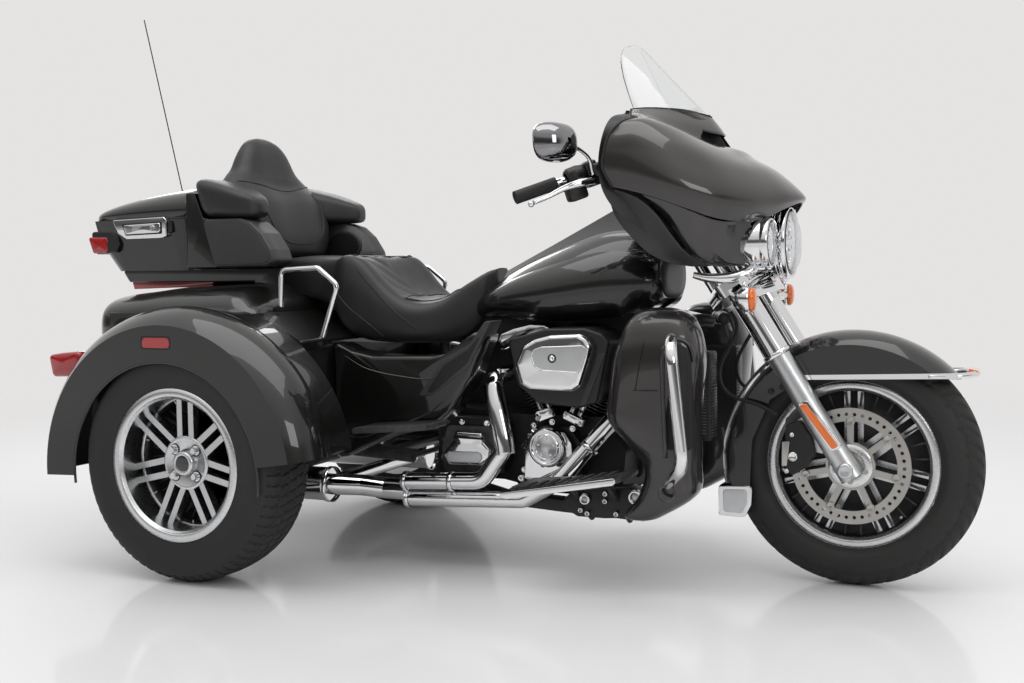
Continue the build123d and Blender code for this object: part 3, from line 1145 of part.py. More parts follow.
bar_run = Vector(*BAR_POINTS[-3]) - grip_start
with BuildPart() as hand_controls:
    rod(grip_start + bar_run * 0.1, grip_start + bar_run * 0.55, HOUSING_RADIUS)
    tube([grip_start + bar_run * 0.3, (1046, -372, 1046), (938, -455, 1002)], 20, 6)
    rod(grip_start + bar_run * 0.05, grip_start + bar_run * 0.6, BAR_RADIUS + PIECE_GAP,
        mode=Mode.SUBTRACT)
    mirror(about=Plane.XZ)
write(hand_controls, "hand_controls")

MIRROR_CENTRE = (990, -430, 1146)
with BuildPart() as mirrors:
    faces = []
    # (offset forward, half width, half height) of the shell's sections
    for ahead, half_width, half_height in ((-20, 75, 46), (-6, 75, 46), (12, 62, 36), (22, 34, 20)):
        with BuildSketch(cross_plane(MIRROR_CENTRE[0] + ahead)) as section:
            with Locations((MIRROR_CENTRE[1], MIRROR_CENTRE[2])):
                Ellipse(half_width, half_height)
        faces.append(section.sketch)
    loft(sections=faces)
    tube([(1036, -306, 1086), (1052, -330, 1130), (1000, -400, 1150)], 14, 5)
    add(hand_controls.part, mode=Mode.SUBTRACT)
    mirror(about=Plane.XZ)
write(mirrors, "mirrors")
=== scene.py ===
"""Dresses the three-wheeled touring motorcycle in its finishes and detail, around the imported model."""

import json
import math

import bmesh
import bpy
import numpy as np
from bpy.props import FloatProperty, FloatVectorProperty, PointerProperty
from bpy.types import Operator, Panel, PropertyGroup
from mathutils import Matrix, Vector
from mathutils.bvhtree import BVHTree


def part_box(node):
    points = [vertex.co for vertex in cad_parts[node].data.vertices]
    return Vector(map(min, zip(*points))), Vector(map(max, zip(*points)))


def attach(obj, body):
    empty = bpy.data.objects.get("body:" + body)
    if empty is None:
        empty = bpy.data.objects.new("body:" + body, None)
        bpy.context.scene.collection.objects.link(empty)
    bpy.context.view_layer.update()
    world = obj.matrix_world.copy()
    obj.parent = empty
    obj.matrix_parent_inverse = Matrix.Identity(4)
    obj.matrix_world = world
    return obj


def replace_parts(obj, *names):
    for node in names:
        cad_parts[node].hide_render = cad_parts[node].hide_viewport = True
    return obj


bl_info = {
    "name": "Touring Trike Dressing",
    "version": (1, 0, 0),
    "blender": (4, 5, 0),
    "location": "View3D > Sidebar > Trike",
    "description": "Builds the finished surfaces of a three-wheeled touring motorcycle",
    "category": "Object",
}

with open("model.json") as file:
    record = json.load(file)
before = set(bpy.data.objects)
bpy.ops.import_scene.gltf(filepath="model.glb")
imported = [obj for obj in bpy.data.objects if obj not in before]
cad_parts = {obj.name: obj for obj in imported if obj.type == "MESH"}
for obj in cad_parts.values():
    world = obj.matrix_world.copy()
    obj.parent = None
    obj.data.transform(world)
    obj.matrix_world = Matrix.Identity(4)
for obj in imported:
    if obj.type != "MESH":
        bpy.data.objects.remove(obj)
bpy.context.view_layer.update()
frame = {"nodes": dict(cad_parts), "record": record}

# Places are in millimetres: the station is forward of the rear axle, the side offset is to the left of the
# centre line and the height is above the ground.
REAR_AXLE_X = -0.5665
MM = 0.001
RIGHT, LEFT = -1, 1
BOTH_SIDES = (RIGHT, LEFT)
SIDE_WORDS = {RIGHT: "right", LEFT: "left"}


def at(x, y, z):
    """A point from its station, side offset and height in millimetres."""
    return Vector((x * MM + REAR_AXLE_X, y * MM, z * MM))


def route_at(points, hand=LEFT):
    """A route of (station, side offset, height), given on the left and taken to one side."""
    return [at(x, hand * y, z) for x, y, z in points]


# ---- Node groups ----
def new_group(name, inputs, outputs):
    """A group whose sockets are all plain numbers, with its own input and output nodes."""
    group = bpy.data.node_groups.new(name, "ShaderNodeTree")
    for label, default in inputs.items():
        socket = group.interface.new_socket(name=label, in_out="INPUT", socket_type="NodeSocketFloat")
        socket.default_value = default
    for label in outputs:
        group.interface.new_socket(name=label, in_out="OUTPUT", socket_type="NodeSocketFloat")
    return group, group.nodes.new("NodeGroupInput"), group.nodes.new("NodeGroupOutput")


def feed(tree, value, socket):
    """Sets a socket to a number or a colour, or wires another socket to it."""
    if isinstance(value, bpy.types.NodeSocket):
        tree.links.new(value, socket)
    else:
        socket.default_value = value


def maths(tree, operation, first, second, clamp=False):
    node = tree.nodes.new("ShaderNodeMath")
    node.operation = operation
    node.use_clamp = clamp
    feed(tree, first, node.inputs[0])
    feed(tree, second, node.inputs[1])
    return node.outputs[0]


def mixed(tree, factor, first, second):
    """A blend of two colours."""
    node = tree.nodes.new("ShaderNodeMix")
    node.data_type = "RGBA"
    for key, value in (("Factor", factor), ("A", first), ("B", second)):
        feed(tree, value, node.inputs[key])
    return node.outputs["Result"]


def noise(tree, scale, detail, stretch=None):
    """A noise over the object's own space, with its scale from a number or a socket."""
    source = tree.nodes.new("ShaderNodeTexCoord").outputs["Object"]
    if stretch:
        mapping = tree.nodes.new("ShaderNodeMapping")
        mapping.inputs["Scale"].default_value = stretch
        feed(tree, source, mapping.inputs["Vector"])
        source = mapping.outputs[0]
    texture = tree.nodes.new("ShaderNodeTexNoise")
    for key, value in (("Vector", source), ("Scale", scale), ("Detail", detail)):
        feed(tree, value, texture.inputs[key])
    return texture.outputs["Fac"]


def vary_roughness(group, inward, outward, value):
    """Lets a noise swing the roughness round its base."""
    swing = maths(group, "MULTIPLY", maths(group, "SUBTRACT", value, 0.5), inward.outputs["Variation"])
    feed(group, maths(group, "ADD", inward.outputs["Base Roughness"], swing), outward.inputs["Roughness"])


def make_grain_group():
    """Fine mottling: a height for bump and a value that varies the roughness."""
    group, inward, outward = new_group("Fine grain", {"Scale": 400.0, "Base Roughness": 0.4,
        "Variation": 0.1}, ("Height", "Roughness"))
    feed(group, noise(group, inward.outputs["Scale"], 3.0), outward.inputs["Height"])
    vary_roughness(group, inward, outward, noise(group, 14.0, 2.0))
    return group


def make_wear_group():
    """A mask of worn edges and one of dust on surfaces that face up."""
    group, inward, outward = new_group("Edge wear", {"Sharpness": 12.0, "Dust": 0.2}, ("Wear", "Dust"))
    geometry = group.nodes.new("ShaderNodeNewGeometry")
    raised = maths(group, "SUBTRACT", geometry.outputs["Pointiness"], 0.53)
    sharp = maths(group, "MULTIPLY", raised, inward.outputs["Sharpness"], clamp=True)
    feed(group, maths(group, "MULTIPLY", sharp, noise(group, 60.0, 4.0)), outward.inputs["Wear"])
    split = group.nodes.new("ShaderNodeSeparateXYZ")
    feed(group, geometry.outputs["Normal"], split.inputs[0])
    up = maths(group, "POWER", maths(group, "MAXIMUM", split.outputs["Z"], 0.0), 3.0, clamp=True)
    settled = maths(group, "MULTIPLY", up, noise(group, 9.0, 5.0))
    feed(group, maths(group, "MULTIPLY", settled, inward.outputs["Dust"]), outward.inputs["Dust"])
    return group


def make_brushed_group():
    """Long fine scratches from brushing or turning."""
    group, inward, outward = new_group("Brushed lines", {"Scale": 90.0, "Base Roughness": 0.25,
        "Variation": 0.2}, ("Height", "Roughness"))
    lines = noise(group, inward.outputs["Scale"], 2.0, (1.0, 1.0, 14.0))
    feed(group, lines, outward.inputs["Height"])
    vary_roughness(group, inward, outward, lines)
    return group


def make_leather_group():
    """Pebbled hide: cells with soft creases between them."""
    group, inward, outward = new_group("Leather grain", {"Scale": 520.0}, ("Height", "Crease"))
    cells = group.nodes.new("ShaderNodeTexVoronoi")
    cells.feature = "SMOOTH_F1"
    feed(group, group.nodes.new("ShaderNodeTexCoord").outputs["Object"], cells.inputs["Vector"])
    feed(group, inward.outputs["Scale"], cells.inputs["Scale"])
    feed(group, cells.outputs["Distance"], outward.inputs["Height"])
    feed(group, noise(group, 22.0, 4.0), outward.inputs["Crease"])
    return group


GROUPS = {}
FINISHES = {}


def group_node(tree, label, **values):
    node = tree.nodes.new("ShaderNodeGroup")
    node.node_tree = GROUPS[label]
    for key, value in values.items():
        node.inputs[key.replace("_", " ")].default_value = value
    return node


def finish(label, colour, metallic, roughness, group="Fine grain", scale=400.0, variation=0.08, bump=0.05,
        bump_distance=0.0004, second=None, patch_scale=30.0, dust=0.0, wear=0.0, wear_colour=(0.5, 0.5, 0.5),
        **sockets):
    """A Principled material with its colour variation, roughness map, bump, dust and edge wear."""
    material = bpy.data.materials.new(label)
    material.use_nodes = True
    tree = material.node_tree
    shader = tree.nodes["Principled BSDF"]
    surface = group_node(tree, group, Scale=scale)
    if "Roughness" in surface.outputs:
        surface.inputs["Base Roughness"].default_value = roughness
        surface.inputs["Variation"].default_value = variation
        feed(tree, surface.outputs["Roughness"], shader.inputs["Roughness"])
    else:
        shader.inputs["Roughness"].default_value = roughness
    raised = tree.nodes.new("ShaderNodeBump")
    raised.inputs["Strength"].default_value = bump
    raised.inputs["Distance"].default_value = bump_distance
    feed(tree, surface.outputs["Height"], raised.inputs["Height"])
    feed(tree, raised.outputs["Normal"], shader.inputs["Normal"])
    second = second or tuple(c * 0.82 for c in colour)
    shade = mixed(tree, noise(tree, patch_scale, 4.0), (*colour, 1.0), (*second, 1.0))
    if dust or wear:
        mask = group_node(tree, "Edge wear", Dust=dust)
        for amount, output, tint in ((wear, "Wear", wear_colour), (dust, "Dust", (0.30, 0.28, 0.25))):
            if amount:
                shade = mixed(tree, mask.outputs[output], shade, (*tint, 1.0))
    feed(tree, shade, shader.inputs["Base Color"])
    shader.inputs["Metallic"].default_value = metallic
    for key, value in sockets.items():
        shader.inputs[key.replace("_", " ")].default_value = value
    FINISHES[label] = material


def make_finishes(colours):
    """Every finish on the machine, from the colours in the panel."""
    paint = tuple(colours.paint)
    dark = tuple(colours.shade_darkened_paint)
    finish("charcoal paint", paint, 0.75, 0.38, scale=2600.0, bump=0.03, bump_distance=0.0002,
        second=tuple(c * 1.25 for c in paint), patch_scale=1400.0, dust=0.03, Coat_Weight=1.0,
        Coat_Roughness=0.03)
    # The fairing's paint darkened as painted shade, for the tank, fenders and body panels.
    finish("shade-darkened paint", dark, 0.55, 0.36, scale=2600.0, bump=0.02, bump_distance=0.0002,
        second=tuple(c * 1.5 for c in dark), patch_scale=1400.0, dust=0.03, Coat_Weight=1.0,
        Coat_Roughness=0.03)
    finish("polished chrome", (0.80, 0.80, 0.81), 1.0, 0.06, scale=30.0, variation=0.05, bump=0.02,
        bump_distance=0.0003, second=(0.74, 0.74, 0.75))
    finish("machined alloy", tuple(colours.alloy), 1.0, 0.27, "Brushed lines", 160.0, 0.12, bump=0.10,
        bump_distance=0.0002, wear=0.4, wear_colour=(0.9, 0.9, 0.9))
    finish("dark chrome", (0.30, 0.30, 0.31), 1.0, 0.05, scale=30.0, variation=0.05, bump=0.02,
        bump_distance=0.0003, second=(0.24, 0.24, 0.25))
    finish("satin alloy", (0.66, 0.67, 0.68), 0.95, 0.36, scale=900.0, bump=0.05, bump_distance=0.0002,
        dust=0.05)
    finish("brushed steel", (0.50, 0.49, 0.47), 1.0, 0.30, "Brushed lines", 220.0, 0.14, bump=0.12,
        bump_distance=0.0002, second=(0.40, 0.38, 0.35))
    finish("satin black", (0.010, 0.010, 0.011), 0.2, 0.38, scale=1200.0, bump=0.10, dust=0.05, wear=0.3,
        wear_colour=(0.10, 0.10, 0.10))
    finish("black crackle", (0.009, 0.009, 0.010), 0.1, 0.52, scale=1600.0, bump=0.45, bump_distance=0.0006,
        dust=0.05)
    finish("matte grey plastic", (0.034, 0.034, 0.037), 0.0, 0.48, scale=1500.0, bump=0.18, dust=0.04)
    finish("black plastic", (0.010, 0.010, 0.011), 0.0, 0.42, scale=1300.0, bump=0.15, dust=0.05)
    finish("black leather", (0.0105, 0.0105, 0.0112), 0.0, 0.46, "Leather grain", 620.0, bump=0.22,
        bump_distance=0.0006, second=(0.016, 0.016, 0.017), patch_scale=16.0, dust=0.03)
    finish("ribbed leather", (0.008, 0.008, 0.009), 0.0, 0.52, "Leather grain", 620.0, bump=0.30,
        bump_distance=0.0007, second=(0.013, 0.013, 0.014), patch_scale=16.0, dust=0.03)
    finish("stitch thread", (0.035, 0.035, 0.037), 0.0, 0.7, scale=2500.0, bump=0.4)
    finish("black rubber", (0.010, 0.010, 0.011), 0.0, 0.62, scale=1100.0, bump=0.25, dust=0.06)
    finish("tyre rubber", (0.011, 0.0105, 0.010), 0.0, 0.66, scale=1300.0, bump=0.35, bump_distance=0.0006,
        second=(0.019, 0.018, 0.017), patch_scale=24.0, dust=0.04)
    finish("red lens", (0.42, 0.010, 0.012), 0.0, 0.10, scale=60.0, variation=0.04, bump=0.02,
        second=(0.30, 0.006, 0.008), Coat_Weight=1.0, Coat_Roughness=0.02)
    finish("amber lens", (0.85, 0.19, 0.015), 0.0, 0.12, scale=60.0, variation=0.04, bump=0.02,
        second=(0.72, 0.13, 0.010), Coat_Weight=1.0, Coat_Roughness=0.02)
    finish("clear screen", (0.97, 0.98, 0.98), 0.0, 0.01, scale=8.0, variation=0.01, bump=0.004,
        second=(0.95, 0.97, 0.97), Transmission_Weight=1.0, IOR=1.40)
    finish("lamp glass", (0.96, 0.97, 0.98), 0.0, 0.02, scale=30.0, variation=0.01, bump=0.03,
        second=(0.93, 0.95, 0.97), Transmission_Weight=1.0, IOR=1.45)
    finish("lamp bowl", (0.90, 0.90, 0.91), 1.0, 0.10, scale=160.0, variation=0.10, bump=0.25,
        bump_distance=0.002, second=(0.72, 0.73, 0.75), patch_scale=60.0)
    finish("dial face", (0.012, 0.012, 0.013), 0.0, 0.28, scale=500.0, bump=0.05, Coat_Weight=1.0)
    # Near-black for dark seam lines, and for dark sheets laid in recesses and gaps as painted shade.
    finish("seam black and painted shade", (0.006, 0.006, 0.006), 0.0, 0.7, scale=500.0, bump=0.1)


# ---- Mesh helpers ----
def piece(name, vertices, faces, material, body="chassis", smooth=True):
    """A mesh object that rides on a body and takes its finish from that finish's slot."""
    mesh = bpy.data.meshes.new(name)
    mesh.from_pydata([tuple(v) for v in vertices], [], faces)
    mesh.validate()
    mesh.materials.append(FINISHES[material])
    if smooth:
        mesh.shade_smooth()
    made = bpy.data.objects.new(name, mesh)
    bpy.context.scene.collection.objects.link(made)
    tidy = bmesh.new()
    tidy.from_mesh(mesh)
    bmesh.ops.recalc_face_normals(tidy, faces=tidy.faces)
    tidy.to_mesh(mesh)
    tidy.free()
    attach(made, body)
    return made


def modify(made, kind, **settings):
    modifier = made.modifiers.new(kind.title(), kind)
    for key, value in settings.items():
        setattr(modifier, key, value)


def bevel(made, width, segments=2, limit=50, **settings):
    """Rounds the edges that are sharper than a limit in degrees, by a width in millimetres."""
    modify(made, "BEVEL", width=width * MM, segments=segments, limit_method="ANGLE",
        angle_limit=math.radians(limit), **settings)


def bent(value, power):
    """A sine or cosine drawn out or in by a power, with its sign kept: it squares or pinches an oval."""
    return math.copysign(abs(value) ** power, value)


def round_steps(count, start=0.0):
    """The angles of a full turn in even steps."""
    return [2 * math.pi * (step + start) / count for step in range(count)]


def smooth_rings(rings, steps):
    """Rings of points with more rings between them, on smooth curves."""
    controls = np.array([[tuple(v) for v in ring] for ring in rings])
    return np.stack([curve_through(controls[:, j], steps) for j in range(controls.shape[1])], 1)


def curve_through(points, steps, closed=False):
    """Points along a smooth curve through the given ones (a uniform Catmull-Rom spline)."""
    points = np.asarray([tuple(p) for p in points], float)
    count = len(points)
    spans = count if closed else count - 1
    out = []
    for i in range(spans):
        if closed:
            p0, p1, p2, p3 = (points[(i + k) % count] for k in (-1, 0, 1, 2))
        else:
            p1, p2 = points[i], points[i + 1]
            p0 = points[i - 1] if i else 2 * p1 - p2
            p3 = points[i + 2] if i + 2 < count else 2 * p2 - p1
        for j in range(steps):
            t = j / steps
            out.append(0.5 * (2 * p1 + (p2 - p0) * t + (2 * p0 - 5 * p1 + 4 * p2 - p3) * t * t
                + (3 * p1 - p0 - 3 * p2 + p3) * t ** 3))
    if not closed:
        out.append(points[-1])
    return np.array(out)


def grid_faces(rows, columns, wrap=False):
    faces = []
    for i in range(rows - 1):
        for j in range(columns if wrap else columns - 1):
            k = (j + 1) % columns
            faces.append((i * columns + j, i * columns + k, (i + 1) * columns + k, (i + 1) * columns + j))
    return faces


def surface_through(rows, steps_along, steps_across):
    """A smooth grid through rows of control points, all rows of the same length."""
    dense = [curve_through(row, steps_along) for row in rows]
    columns = [curve_through(column, steps_across) for column in np.stack(dense, 1)]
    return np.stack(columns, 1)


def sheet_piece(name, grid, thickness, material, body="chassis", offset=-1.0):
    """A panel from a grid of points, with an even thickness in millimetres."""
    made = piece(name, grid.reshape(-1, 3), grid_faces(*grid.shape[:2]), material, body)
    modify(made, "SOLIDIFY", thickness=thickness * MM, offset=offset, use_even_offset=True)
    return made


def turned(name, profile, centre, axis, material, segments=48, closed=False, body="chassis"):
    """A lathe-turned form. The profile gives distance along the axis and radius, in millimetres."""
    axis = Vector(axis).normalized()
    side = axis.orthogonal().normalized()
    up = axis.cross(side)
    vertices = []
    for step in range(segments):
        angle = 2 * math.pi * step / segments
        ray = side * math.cos(angle) + up * math.sin(angle)
        vertices += [centre + axis * along * MM + ray * radius * MM for along, radius in profile]
    count = len(profile)
    faces = []
    for step in range(segments):
        after = (step + 1) % segments
        for i in range(count if closed else count - 1):
            k = (i + 1) % count
            faces.append((step * count + i, step * count + k, after * count + k, after * count + i))
    made = piece(name, vertices, faces, material, body)
    merge = bmesh.new()
    merge.from_mesh(made.data)
    bmesh.ops.remove_doubles(merge, verts=merge.verts, dist=0.00002)
    merge.to_mesh(made.data)
    merge.free()
    made.data.shade_smooth()
    return made


def pipe(name, points, radius, material, steps=8, sides=14, closed=False, body="chassis"):
    """A round tube along a smooth path, with capped ends. Its radius or radii are millimetres."""
    path = curve_through(points, steps, closed)
    count = len(path)
    radii = radius if isinstance(radius, tuple) else (radius, radius)
    sizes = np.interp(np.linspace(0, 1, count), np.linspace(0, 1, len(radii)), radii) * MM
    vertices, faces = [], []
    normal = None
    for i, point in enumerate(path):
        ahead = path[(i + 1) % count] if closed or i + 1 < count else path[i]
        behind = path[i - 1] if closed or i else path[i]
        tangent = Vector(ahead - behind).normalized()
        if normal is None:
            normal = tangent.orthogonal().normalized()
        normal = (normal - tangent * normal.dot(tangent)).normalized()
        side = tangent.cross(normal)
        for k in range(sides):
            angle = 2 * math.pi * k / sides
            vertices.append(Vector(point) + (normal * math.cos(angle)
                + side * math.sin(angle)) * float(sizes[i]))
    faces = grid_faces(count, sides, wrap=True)
    if closed:
        last = (count - 1) * sides
        faces += [(last + k, last + (k + 1) % sides, (k + 1) % sides, k) for k in range(sides)]
    else:
        faces.append(tuple(range(sides)))
        faces.append(tuple(range((count - 1) * sides, count * sides))[::-1])
    return piece(name, vertices, faces, material, body)


def join(name, parts):
    """Makes one object of several meshes that share a body."""
    first = parts[0]
    with bpy.context.temp_override(active_object=first, selected_editable_objects=parts,
            selected_objects=parts):
        bpy.ops.object.join()
    first.name = name
    return first


def loft_rings(name, rings, material, body="chassis", cap=True):
    """A skin round rings that each have the same number of points, closed at its ends where cap is set."""
    count = len(rings[0])
    vertices = [v for ring in rings for v in ring]
    faces = grid_faces(len(rings), count, wrap=True)
    if cap:
        faces.append(tuple(range(count)))
        faces.append(tuple(range((len(rings) - 1) * count, len(rings) * count))[::-1])
    return piece(name, vertices, faces, material, body)


def rounded_box(name, centre, size, radius, material, turn=None, body="chassis"):
    """A block with rounded edges. Its size and radius are millimetres."""
    made = piece(name, [], [], material, body)
    form = bmesh.new()
    bmesh.ops.create_cube(form, size=1.0)
    for vertex in form.verts:
        vertex.co *= Vector(size) * MM
    bmesh.ops.bevel(form, geom=form.edges[:], offset=radius * MM, segments=3, affect="EDGES", profile=0.5)
    if turn:
        bmesh.ops.rotate(form, verts=form.verts, matrix=turn)
    bmesh.ops.translate(form, verts=form.verts, vec=centre)
    form.to_mesh(made.data)
    form.free()
    made.data.shade_smooth()
    return made


def hex_bolt(name, centre, axis, radius, height, material, body):
    """A bolt head with six flats, a chamfered top and a washer. Its radius and height are millimetres."""
    axis = Vector(axis).normalized()
    side = axis.orthogonal().normalized()
    up = axis.cross(side)
    rings = []
    for along, size, sides in ((0, 1.35, 24), (0.16, 1.35, 24), (0.17, 1.0, 6), (0.82, 1.0, 6),
            (1.0, 0.86, 6)):
        ring = []
        for angle in round_steps(24):
            reach = 1.0
            if sides == 6:
                reach = math.cos(math.pi / 6) / math.cos((angle % (math.pi / 3)) - math.pi / 6)
            ring.append(centre + axis * height * MM * along + (side * math.cos(angle)
                + up * math.sin(angle)) * radius * MM * size * reach)
        rings.append(ring)
    made = loft_rings(name, rings, material, body)
    made.data.shade_flat()
    return made


def mirrored_row(points):
    """A row given from its right end to the centre line, continued to the left end."""
    left = [(x, -y, z) for x, y, z in points[-2::-1]]
    return [at(*p) for p in list(points) + left]


def both_sides_rows(table):
    return [mirrored_row(row) for row in table]


# ---- Fairing ----
# Each row runs from the right rear edge forward to the nose on the centre line, in millimetres.
FAIRING_ROWS = (
    ((1148, -396, 1034), (1200, -392, 1021), (1256, -379, 1003), (1320, -349, 978), (1383, -300, 953),
     (1435, -222, 945), (1474, -145, 957), (1513, -75, 984), (1533, 0, 998)),
    ((1125, -401, 1082), (1190, -401, 1068), (1256, -389, 1052), (1325, -359, 1032), (1395, -306, 1012),
     (1450, -232, 1003), (1490, -152, 1007), (1522, -76, 1016), (1538, 0, 1019)),
    ((1130, -400, 1126), (1190, -399, 1122), (1250, -383, 1110), (1310, -346, 1093), (1370, -286, 1077),
     (1415, -213, 1070), (1446, -141, 1073), (1464, -70, 1080), (1469, 0, 1083)),
    ((1141, -394, 1162), (1195, -388, 1166), (1245, -362, 1157), (1295, -318, 1142), (1340, -260, 1127),
     (1372, -195, 1117), (1393, -130, 1114), (1405, -65, 1117), (1408, 0, 1119)),
    ((1166, -374, 1194), (1205, -340, 1202), (1245, -297, 1192), (1285, -247, 1174), (1318, -195, 1156),
     (1345, -145, 1143), (1365, -95, 1137), (1378, -48, 1138), (1382, 0, 1139)),
    ((1180, -300, 1212), (1196, -240, 1218), (1224, -197, 1207), (1257, -161, 1191), (1287, -128, 1174),
     (1312, -96, 1160), (1332, -64, 1153), (1347, -32, 1151), (1352, 0, 1151)),
)
COWL_ROWS = (
    ((1176, -296, 1208), (1192, -238, 1215), (1221, -195, 1204), (1254, -159, 1188), (1284, -126, 1171),
     (1309, -94, 1157), (1329, -62, 1150), (1344, -31, 1148), (1349, 0, 1148)),
    ((1150, -256, 1224), (1175, -212, 1231), (1204, -176, 1228), (1234, -143, 1220), (1262, -112, 1211),
     (1286, -82, 1204), (1304, -54, 1200), (1317, -27, 1198), (1322, 0, 1197)),
    ((1136, -212, 1245), (1158, -182, 1250), (1183, -151, 1252), (1208, -121, 1252), (1231, -92, 1251),
     (1253, -62, 1248), (1271, -38, 1244), (1285, -18, 1240), (1292, 0, 1237)),
)
UNDER_ROWS = (
    ((1222, -386, 1013), (1262, -376, 1000), (1300, -358, 985), (1336, -334, 968), (1370, -302, 952),
     (1394, -268, 946), (1408, -240, 946), (1420, -220, 948), (1446, -198, 950)),
    ((1231, -380, 1005), (1270, -362, 981), (1306, -337, 946), (1334, -310, 915), (1362, -276, 894),
     (1384, -246, 888), (1398, -226, 888), (1410, -212, 892), (1438, -190, 892)),
    ((1238, -372, 999), (1277, -346, 962), (1305, -312, 905), (1326, -283, 868), (1346, -250, 847),
     (1366, -226, 838), (1382, -212, 836), (1396, -202, 838), (1424, -182, 838)),
    ((1236, -352, 990), (1262, -322, 950), (1288, -288, 900), (1310, -260, 868), (1330, -232, 852),
     (1350, -212, 844), (1368, -198, 842), (1382, -188, 844), (1410, -170, 844)),
)
INNER_WING_ROWS = (
    ((1150, -378, 1030), (1205, -372, 1008), (1246, -350, 968), (1276, -318, 916), (1302, -287, 874),
     (1330, -252, 850), (1360, -214, 841)),
    ((1128, -352, 1020), (1165, -342, 985), (1200, -322, 945), (1226, -300, 908), (1256, -276, 872),
     (1290, -246, 850), (1330, -216, 838)),
    ((1121, -330, 1006), (1128, -320, 972), (1146, -308, 938), (1170, -298, 908), (1200, -284, 876),
     (1242, -260, 850), (1300, -226, 838)),
)
SCREEN_ROWS = (
    # (height at the edge, edge station, edge side offset, height in the middle, middle station)
    (1238, 1139, 184, 1222, 1296), (1262, 1128, 182, 1254, 1266), (1290, 1117, 177, 1285, 1236),
    (1340, 1098, 163, 1338, 1186), (1390, 1082, 136, 1392, 1136), (1422, 1077, 96, 1427, 1104),
    (1437, 1080, 44, 1441, 1089),
)
SCREEN_FASTENERS = ((1176, -130, 1246), (1284, 0, 1234), (1176, 130, 1246))
VENT_COLUMN, VENT_ROWS = 4.6, (0.1, 0.86)


def build_fairing():
    shell = sheet_piece("fairing_shell", surface_through(both_sides_rows(FAIRING_ROWS), 7, 7), 4,
        "charcoal paint", "steering")
    bevel(shell, 1.5)
    steps = 8
    grid = surface_through(both_sides_rows(COWL_ROWS), steps, steps)
    rows, columns = grid.shape[:2]
    middle = (columns - 1) / 2
    low, high = (int(row * steps) for row in VENT_ROWS)
    faces = []
    for face in grid_faces(rows, columns):
        i, j = divmod(face[0], columns)
        # The vent's mouth narrows towards its two ends.
        half = (middle - int(VENT_COLUMN * steps)) * (1 - 0.16 * ((i - low) / (high - low)) ** 2)
        if not (low <= i < high and abs(j + 0.5 - middle) < half):
            faces.append(face)
    cowl = piece("fairing_cowl", grid.reshape(-1, 3), faces, "charcoal paint", "steering")
    modify(cowl, "SOLIDIFY", thickness=0.004, offset=-1.0)
    # A dark sheet behind the vent's mouth stands for painted shade inside the vent; its fins take the same
    # dark.
    recess = grid[:steps + 2] + np.array((-0.030, 0, -0.004))
    parts = [sheet_piece("fairing_vent", recess, 2, "seam black and painted shade", "steering")]
    for side in BOTH_SIDES:
        fin = [at(x, side * y, z) for x, y, z in ((1340, 22, 1152), (1310, 22, 1196), (1270, 30, 1192),
            (1300, 30, 1150))]
        parts.append(piece("fin", fin + [p + Vector((0, side * 0.004, 0)) for p in fin],
            [(0, 1, 2, 3), (7, 6, 5, 4), (0, 4, 5, 1), (1, 5, 6, 2), (2, 6, 7, 3), (3, 7, 4, 0)], "seam black and painted shade",
            "steering", smooth=False))
    parts[0].modifiers.clear()
    join("fairing_vent", parts)
    for side, word in SIDE_WORDS.items():
        for label, table, material in (("fairing_under", UNDER_ROWS, "charcoal paint"),
                ("fairing_inner_wing", INNER_WING_ROWS, "matte grey plastic")):
            rows = [[at(x, -side * y, z) for x, y, z in row] for row in table]
            panel = sheet_piece(f"{label}_{word}", surface_through(rows, 7, 7), 4, material, "steering",
                offset=side)
            bevel(panel, 1.2)
    # The rubber that edges the open back of the shell.
    edge = [at(*row[0]) for row in FAIRING_ROWS] + [at(1150, -256, 1222), at(1136, -212, 1243)]
    beads = []
    for side in BOTH_SIDES:
        beads.append(pipe("bead", [Vector((p.x, p.y * -side, p.z)) for p in edge], 3.2, "black rubber",
            body="steering"))
    top = curve_through(mirrored_row(COWL_ROWS[-1]), 4)
    beads.append(pipe("bead", top, 1.4, "black rubber", steps=2, body="steering"))
    join("fairing_edging", beads)
    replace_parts(shell, "fairing")


def build_screen():
    rows = []
    for edge_z, edge_x, reach, middle_z, middle_x in SCREEN_ROWS:
        row = []
        for step in range(-6, 7):
            s = step / 6
            row.append(at(middle_x + (edge_x - middle_x) * abs(s) ** 1.9, s * reach,
                middle_z + (edge_z - middle_z) * s * s))
        rows.append(row)
    screen = sheet_piece("screen", surface_through(rows, 3, 6), 4, "clear screen", "steering", offset=0)
    bevel(screen, 1.2)
    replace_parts(screen, "windshield")
    outer = [(0, 0), (4, 0), (4, 5.5), (2, 8), (0, 8.8), (-3, 8.8)]
    parts = []
    for x, y, z in SCREEN_FASTENERS:
        facing = Vector((0.45, math.copysign(0.5, y) if y else 0.0, 0.45))
        parts.append(turned("fastener", outer, at(x, y, z) + facing.normalized() * 0.004, facing,
            "black plastic", segments=20, body="steering"))
    join("screen_fasteners", parts)


# ---- Dials and speakers on the rider's side of the fairing ----
# (side offset, height, radius)
DIALS = ((-62, 1130, 46), (62, 1130, 46), (-150, 1150, 27), (150, 1150, 27))
SPEAKERS = ((-262, 1060, 62), (262, 1060, 62))


